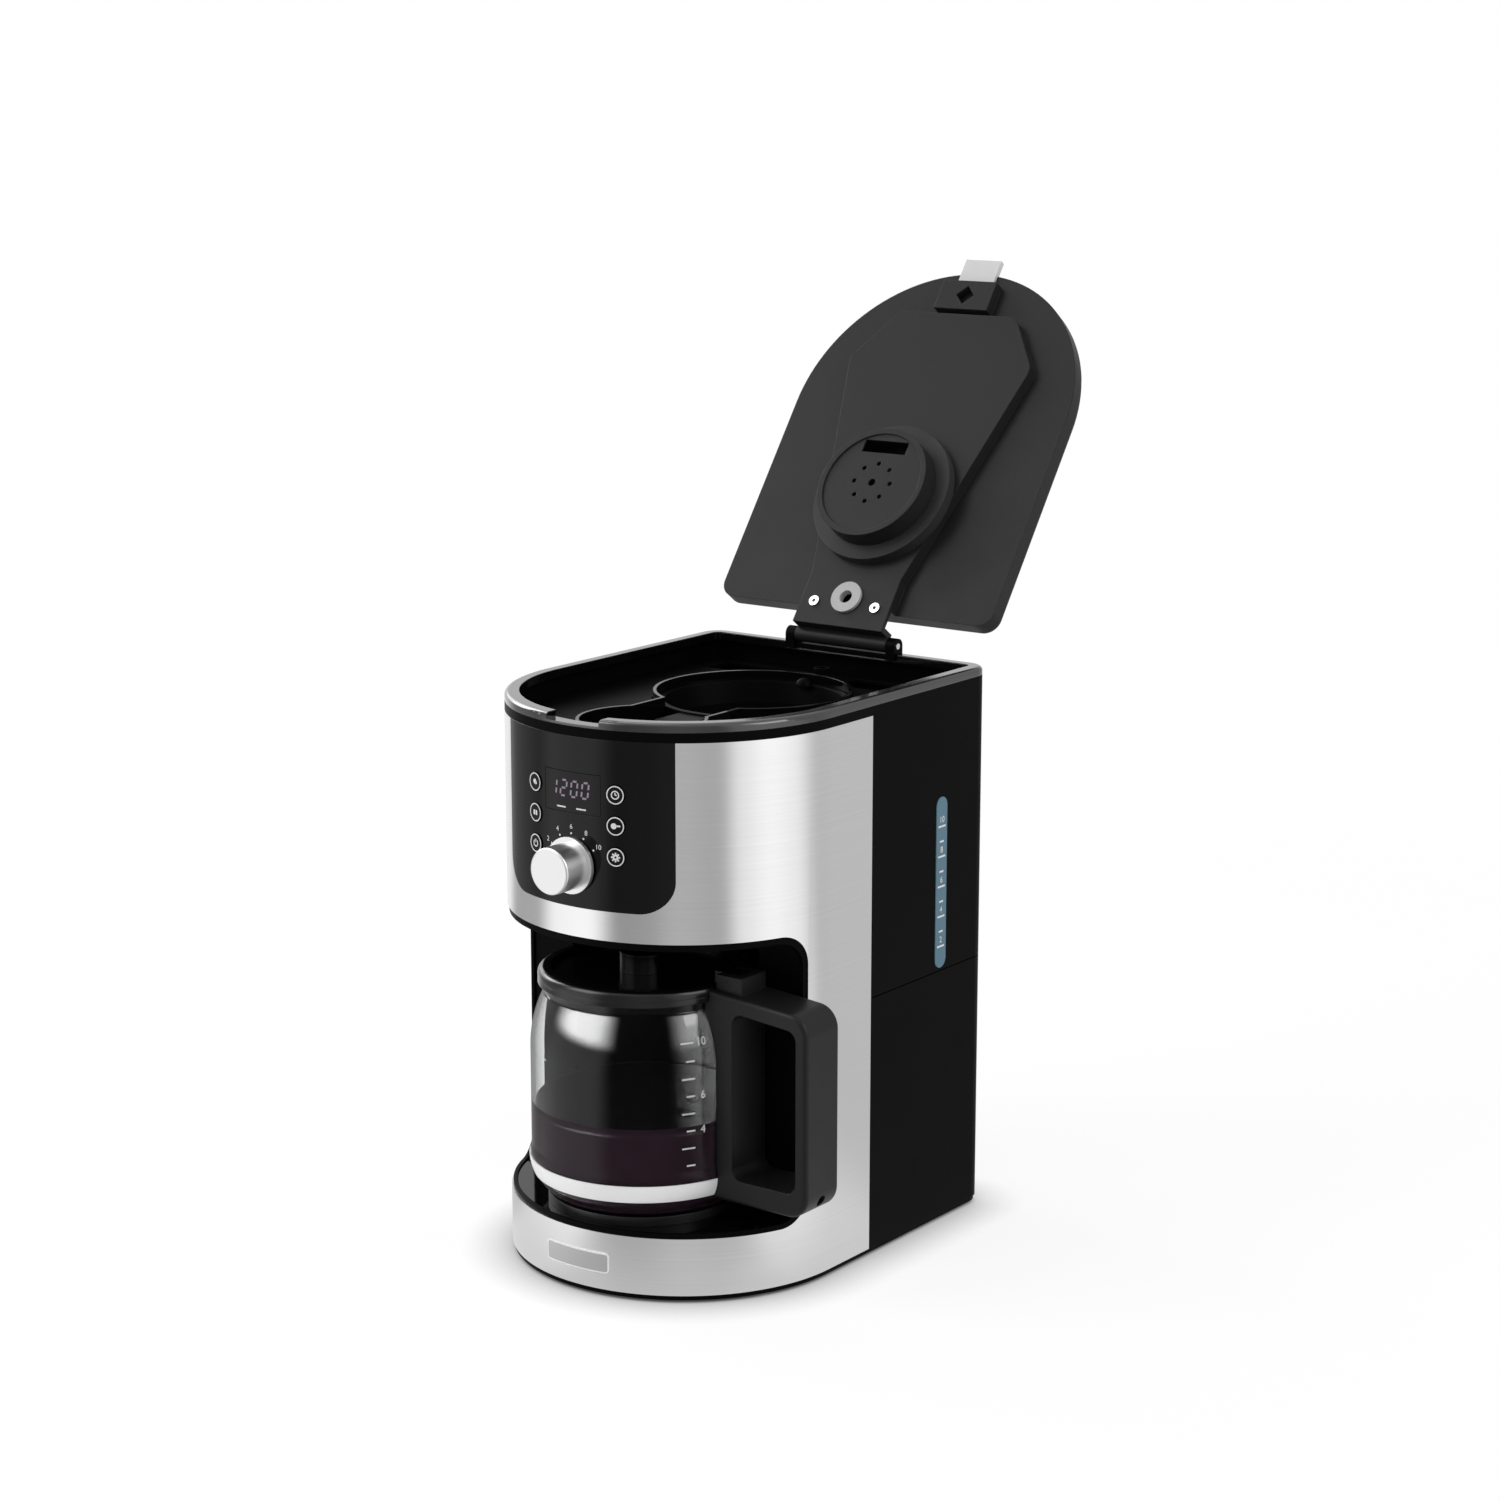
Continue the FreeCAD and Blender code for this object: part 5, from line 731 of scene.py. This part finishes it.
def coffee_rings(axis_x, axis_y):
    """Radius and height of each ring of the coffee, from the bottom up to the small rise at the wall."""
    glass = NODES["carafe_glass"]
    _, floor, _, _ = glass.ray_cast(Vector((axis_x, axis_y, COFFEE_LEVEL)), Vector((0, 0, -1)))
    bottom = floor.z - COFFEE_SINK
    rings = []
    for i in range(COFFEE_RINGS):
        z = bottom + (COFFEE_LEVEL - bottom) * (i / (COFFEE_RINGS - 1)) ** COFFEE_RING_SPREAD
        above = max(z, floor.z + COFFEE_SINK)
        _, wall, _, _ = glass.ray_cast(Vector((axis_x, axis_y, above)), Vector((1, 0, 0)))
        rings.append((wall.x - axis_x + COFFEE_SINK, z))
    rings[-1] = (rings[-1][0], COFFEE_LEVEL + COFFEE_MENISCUS)
    rings.append((rings[-1][0] - 2 * COFFEE_MENISCUS, COFFEE_LEVEL))
    return rings


def pour_coffee():
    """Coffee up to its level, let just into the glass so that no gap shows."""
    axis_x, axis_y = (GLASS_LOW.x + GLASS_HIGH.x) / 2, (GLASS_LOW.y + GLASS_HIGH.y) / 2
    turns = [2 * math.pi * k / COFFEE_SIDES for k in range(COFFEE_SIDES)]
    shell = bmesh.new()
    loops = []
    for radius, z in coffee_rings(axis_x, axis_y):
        spots = [(axis_x + radius * math.cos(turn), axis_y + radius * math.sin(turn), z) for turn in turns]
        loops.append([shell.verts.new(spot) for spot in spots])
    for lower, upper in zip(loops, loops[1:]):
        for k in range(COFFEE_SIDES):
            follow = (k + 1) % COFFEE_SIDES
            shell.faces.new((lower[k], lower[follow], upper[follow], upper[k]))
    shell.faces.new(list(reversed(loops[0])))
    top = shell.faces.new(loops[-1])
    # The top takes the darker copy of the coffee, painted shade
    top.material_index = 1
    # Only the sides, which are made of quads, are smooth
    for face in shell.faces:
        face.smooth = len(face.verts) == 4
    mesh = bpy.data.meshes.new("coffee")
    shell.to_mesh(mesh)
    shell.free()
    mesh.materials.append(COFFEE_LIT_SIDE)
    mesh.materials.append(COFFEE_SHADED_TOP)
    coffee = new_object("coffee", mesh)
    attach(coffee, "carafe")


def yielding_spring():
    """The drip valve's spring, copied to a mesh of its own and carried by the basket in place of the frame's part.
    """
    spring = new_object("yielding_spring", NODES["drip_valve_spring"].data.copy())
    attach(spring, "basket")
    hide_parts("drip_valve_spring")
    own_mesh(spring)


def mark_lid_screws():
    """Flat near-black disc on the head of each screw on the open lid's inner side, painted shade in place of its
    socket.
    """
    hinge = JOINTS["lid_hinge"]
    opened = math.radians(-hinge["range_deg"][0])
    facing = Vector((0, -math.sin(opened), -math.cos(opened)))
    along = Vector((0, -math.cos(opened), math.sin(opened)))
    corners = [corner.co for corner in NODES["lid_screws"].data.vertices]
    for side, name in ((-1, "lid_screw_socket_shade_left"), (1, "lid_screw_socket_shade_right")):
        mine = [corner for corner in corners if corner.x * side > 0]
        top = max(corner.dot(facing) for corner in mine)
        face = [corner for corner in mine if top - corner.dot(facing) < MARK_SINK]
        middle = sum(face, Vector()) / len(face) - facing * MARK_SINK
        make_marks(
            name, disc(0, 0, SCREW_SOCKET_RADIUS, SCREW_SOCKET_SIDES),
            lambda u, v: middle + Vector((u, 0, 0)) + along * v, SOCKET_PAINTED_SHADE, "lid")


# Floor, light and camera
def eased(tree, value, start, end):
    """Rise from 0 to 1 as a socket's value goes from start to end."""
    spread = add(tree, "ShaderNodeMapRange", From_Min=start, From_Max=end, To_Min=0.0, To_Max=1.0)
    spread.interpolation_type = "SMOOTHSTEP"
    tree.links.new(value, spread.inputs["Value"])
    return spread.outputs["Result"]


def studio_bands(tree, direction, bands):
    """Upright light and dark panels round the object, by the compass direction of a vector."""
    parts = add(tree, "ShaderNodeSeparateXYZ")
    tree.links.new(direction, parts.inputs[0])
    front = math_node(tree, "MULTIPLY", parts.outputs["Y"], -1.0)
    turn = math_node(tree, "ARCTAN2", parts.outputs["X"], front)
    share = math_node(tree, "MULTIPLY_ADD", turn, 1 / (2 * math.pi), 0.5)
    ramp = tree.nodes.new("ShaderNodeValToRGB")
    ramp.color_ramp.interpolation = "EASE"
    tree.links.new(share, ramp.inputs["Fac"])
    stops = ramp.color_ramp.elements
    while len(stops) < len(bands):
        stops.new(0.5)
    for stop, (azimuth, level) in zip(stops, bands):
        stop.position = azimuth / 360 + 0.5
        stop.color = (*grey(level), 1)
    return ramp.outputs["Color"], parts.outputs["Z"]


def ray_kinds(tree):
    """Whether a ray is seen straight or through glass, is perfectly sharp, or is glossy, as 0 or 1."""
    path = tree.nodes.new("ShaderNodeLightPath")
    unreflected = math_node(tree, "LESS_THAN", path.outputs["Glossy Depth"], 0.5)
    through = math_node(tree, "MULTIPLY", path.outputs["Is Transmission Ray"], unreflected)
    seen = math_node(tree, "MAXIMUM", path.outputs["Is Camera Ray"], through)
    return seen, path.outputs["Is Singular Ray"], path.outputs["Is Glossy Ray"]


def mixed_shader(tree, factor, first, second):
    mix = tree.nodes.new("ShaderNodeMixShader")
    tree.links.new(factor, mix.inputs[0])
    tree.links.new(first, mix.inputs[1])
    tree.links.new(second, mix.inputs[2])
    return mix.outputs[0]


def floor_material():
    """White table with the object's shadow, cast by the lamps and, near the object, painted into its glow; shiny
    surfaces see the studio's panels in it.
    """
    material = bpy.data.materials.new("floor")
    material.use_nodes = True
    tree = material.node_tree
    tree.nodes.clear()
    place = tree.nodes.new("ShaderNodeNewGeometry").outputs["Position"]
    seen, sharp, glossy = ray_kinds(tree)
    distance = vector_length(tree, place)
    plain = add(tree, "ShaderNodeBsdfDiffuse", Color=FLOOR_COLOUR).outputs[0]
    lit = add(tree, "ShaderNodeBsdfDiffuse", Color=FLOOR_SHOWN_COLOUR).outputs[0]
    # Painted contact shadow: ambient occlusion darkens the floor's glow where the object is near
    painted_contact_shadow = add(tree, "ShaderNodeAmbientOcclusion", Color=(1, 1, 1, 1), Distance=FLOOR_SHADOW_REACH)
    emission = add(tree, "ShaderNodeEmission", Strength=FLOOR_SHOWN_GLOW)
    tree.links.new(painted_contact_shadow.outputs["Color"], emission.inputs["Color"])
    both = tree.nodes.new("ShaderNodeAddShader")
    tree.links.new(lit, both.inputs[0])
    tree.links.new(emission.outputs[0], both.inputs[1])
    white = add(tree, "ShaderNodeEmission", Strength=1.0).outputs[0]
    fade = eased(tree, distance, FLOOR_FADE_START, FLOOR_FADE_END)
    shown = mixed_shader(tree, fade, both.outputs[0], white)
    bands, _ = studio_bands(tree, place, STUDIO_BANDS)
    glass_bands, _ = studio_bands(tree, place, GLASS_BANDS)
    panels = add(tree, "ShaderNodeEmission", Strength=1.0)
    level = mixed(tree, eased(tree, distance, NEAR_START, NEAR_END), NEAR_LEVEL, bands)
    tree.links.new(mixed(tree, sharp, level, glass_bands), panels.inputs["Color"])
    unseen = mixed_shader(tree, glossy, plain, panels.outputs[0])
    output = tree.nodes.new("ShaderNodeOutputMaterial")
    tree.links.new(mixed_shader(tree, seen, unseen, shown), output.inputs["Surface"])
    return material


def make_floor():
    mesh = bpy.data.meshes.new("floor")
    half = FLOOR_HALF
    mesh.from_pydata(
        [(-half, -half, 0), (half, -half, 0), (half, half, 0), (-half, half, 0)], [], [(0, 1, 2, 3)])
    mesh.materials.append(floor_material())
    new_object("floor", mesh)


def make_sky():
    """Pale studio round the object: soft light for matt surfaces, upright light panels for shiny ones."""
    world = bpy.data.worlds.new("studio")
    bpy.context.scene.world = world
    world.use_nodes = True
    tree = world.node_tree
    background = tree.nodes["Background"]
    direction = add(tree, "ShaderNodeTexCoord").outputs["Generated"]
    bands, height = studio_bands(tree, direction, STUDIO_BANDS)
    rise = eased(tree, height, *SKY_RISE)
    seen, sharp, glossy = ray_kinds(tree)
    glass_bands, _ = studio_bands(tree, direction, GLASS_BANDS)
    softbox, _ = studio_bands(tree, direction, SOFTBOX_BANDS)
    over = eased(tree, height, *SOFTBOX_LOW)
    under = math_node(tree, "SUBTRACT", 1.0, eased(tree, height, *SOFTBOX_HIGH))
    inside = math_node(tree, "MULTIPLY", math_node(tree, "MULTIPLY", over, under), softbox)
    polished = mixed(tree, inside, glass_bands, SOFTBOX_LEVEL)
    back, _ = studio_bands(tree, direction, BACK_BANDS)
    behind = math_node(tree, "MULTIPLY", eased(tree, height, *BACK_LOW), back)
    panels = mixed(tree, behind, mixed(tree, rise, bands, SKY_TOP), BACK_LEVEL)
    gloss = mixed(tree, sharp, panels, polished)
    unseen = mixed(tree, glossy, SKY_DIFFUSE, gloss)
    tree.links.new(mixed(tree, seen, unseen, 1.0), background.inputs["Color"])


def make_lamps():
    for name, place, size, watts in LAMPS:
        data = bpy.data.lights.new(name, "AREA")
        data.size = size
        data.energy = watts
        lamp = new_object(name, data)
        lamp.location = place
        lamp.rotation_mode = "QUATERNION"
        lamp.rotation_quaternion = (LAMP_AIM - Vector(place)).to_track_quat("-Z", "Y")


def make_camera():
    turn, rise = math.radians(CAMERA_AZIMUTH), math.radians(CAMERA_ELEVATION)
    back = Vector((math.sin(turn) * math.cos(rise), -math.cos(turn) * math.cos(rise), math.sin(rise)))
    data = bpy.data.cameras.new("camera")
    data.lens = CAMERA_LENS
    data.sensor_width = CAMERA_SENSOR
    camera = new_object("camera", data)
    camera.location = CAMERA_PLACE
    camera.rotation_mode = "QUATERNION"
    camera.rotation_quaternion = (-back).to_track_quat("-Z", "Y")
    bpy.context.scene.camera = camera


make_camera()
make_floor()
make_sky()
make_lamps()
dress_nodes()
mark_buttons()
mark_display()
mark_dial()
badge_plate()
mark_gauge()
mark_carafe()
pour_coffee()
yielding_spring()
mark_lid_screws()
bpy.context.scene.view_settings.view_transform = "Standard"
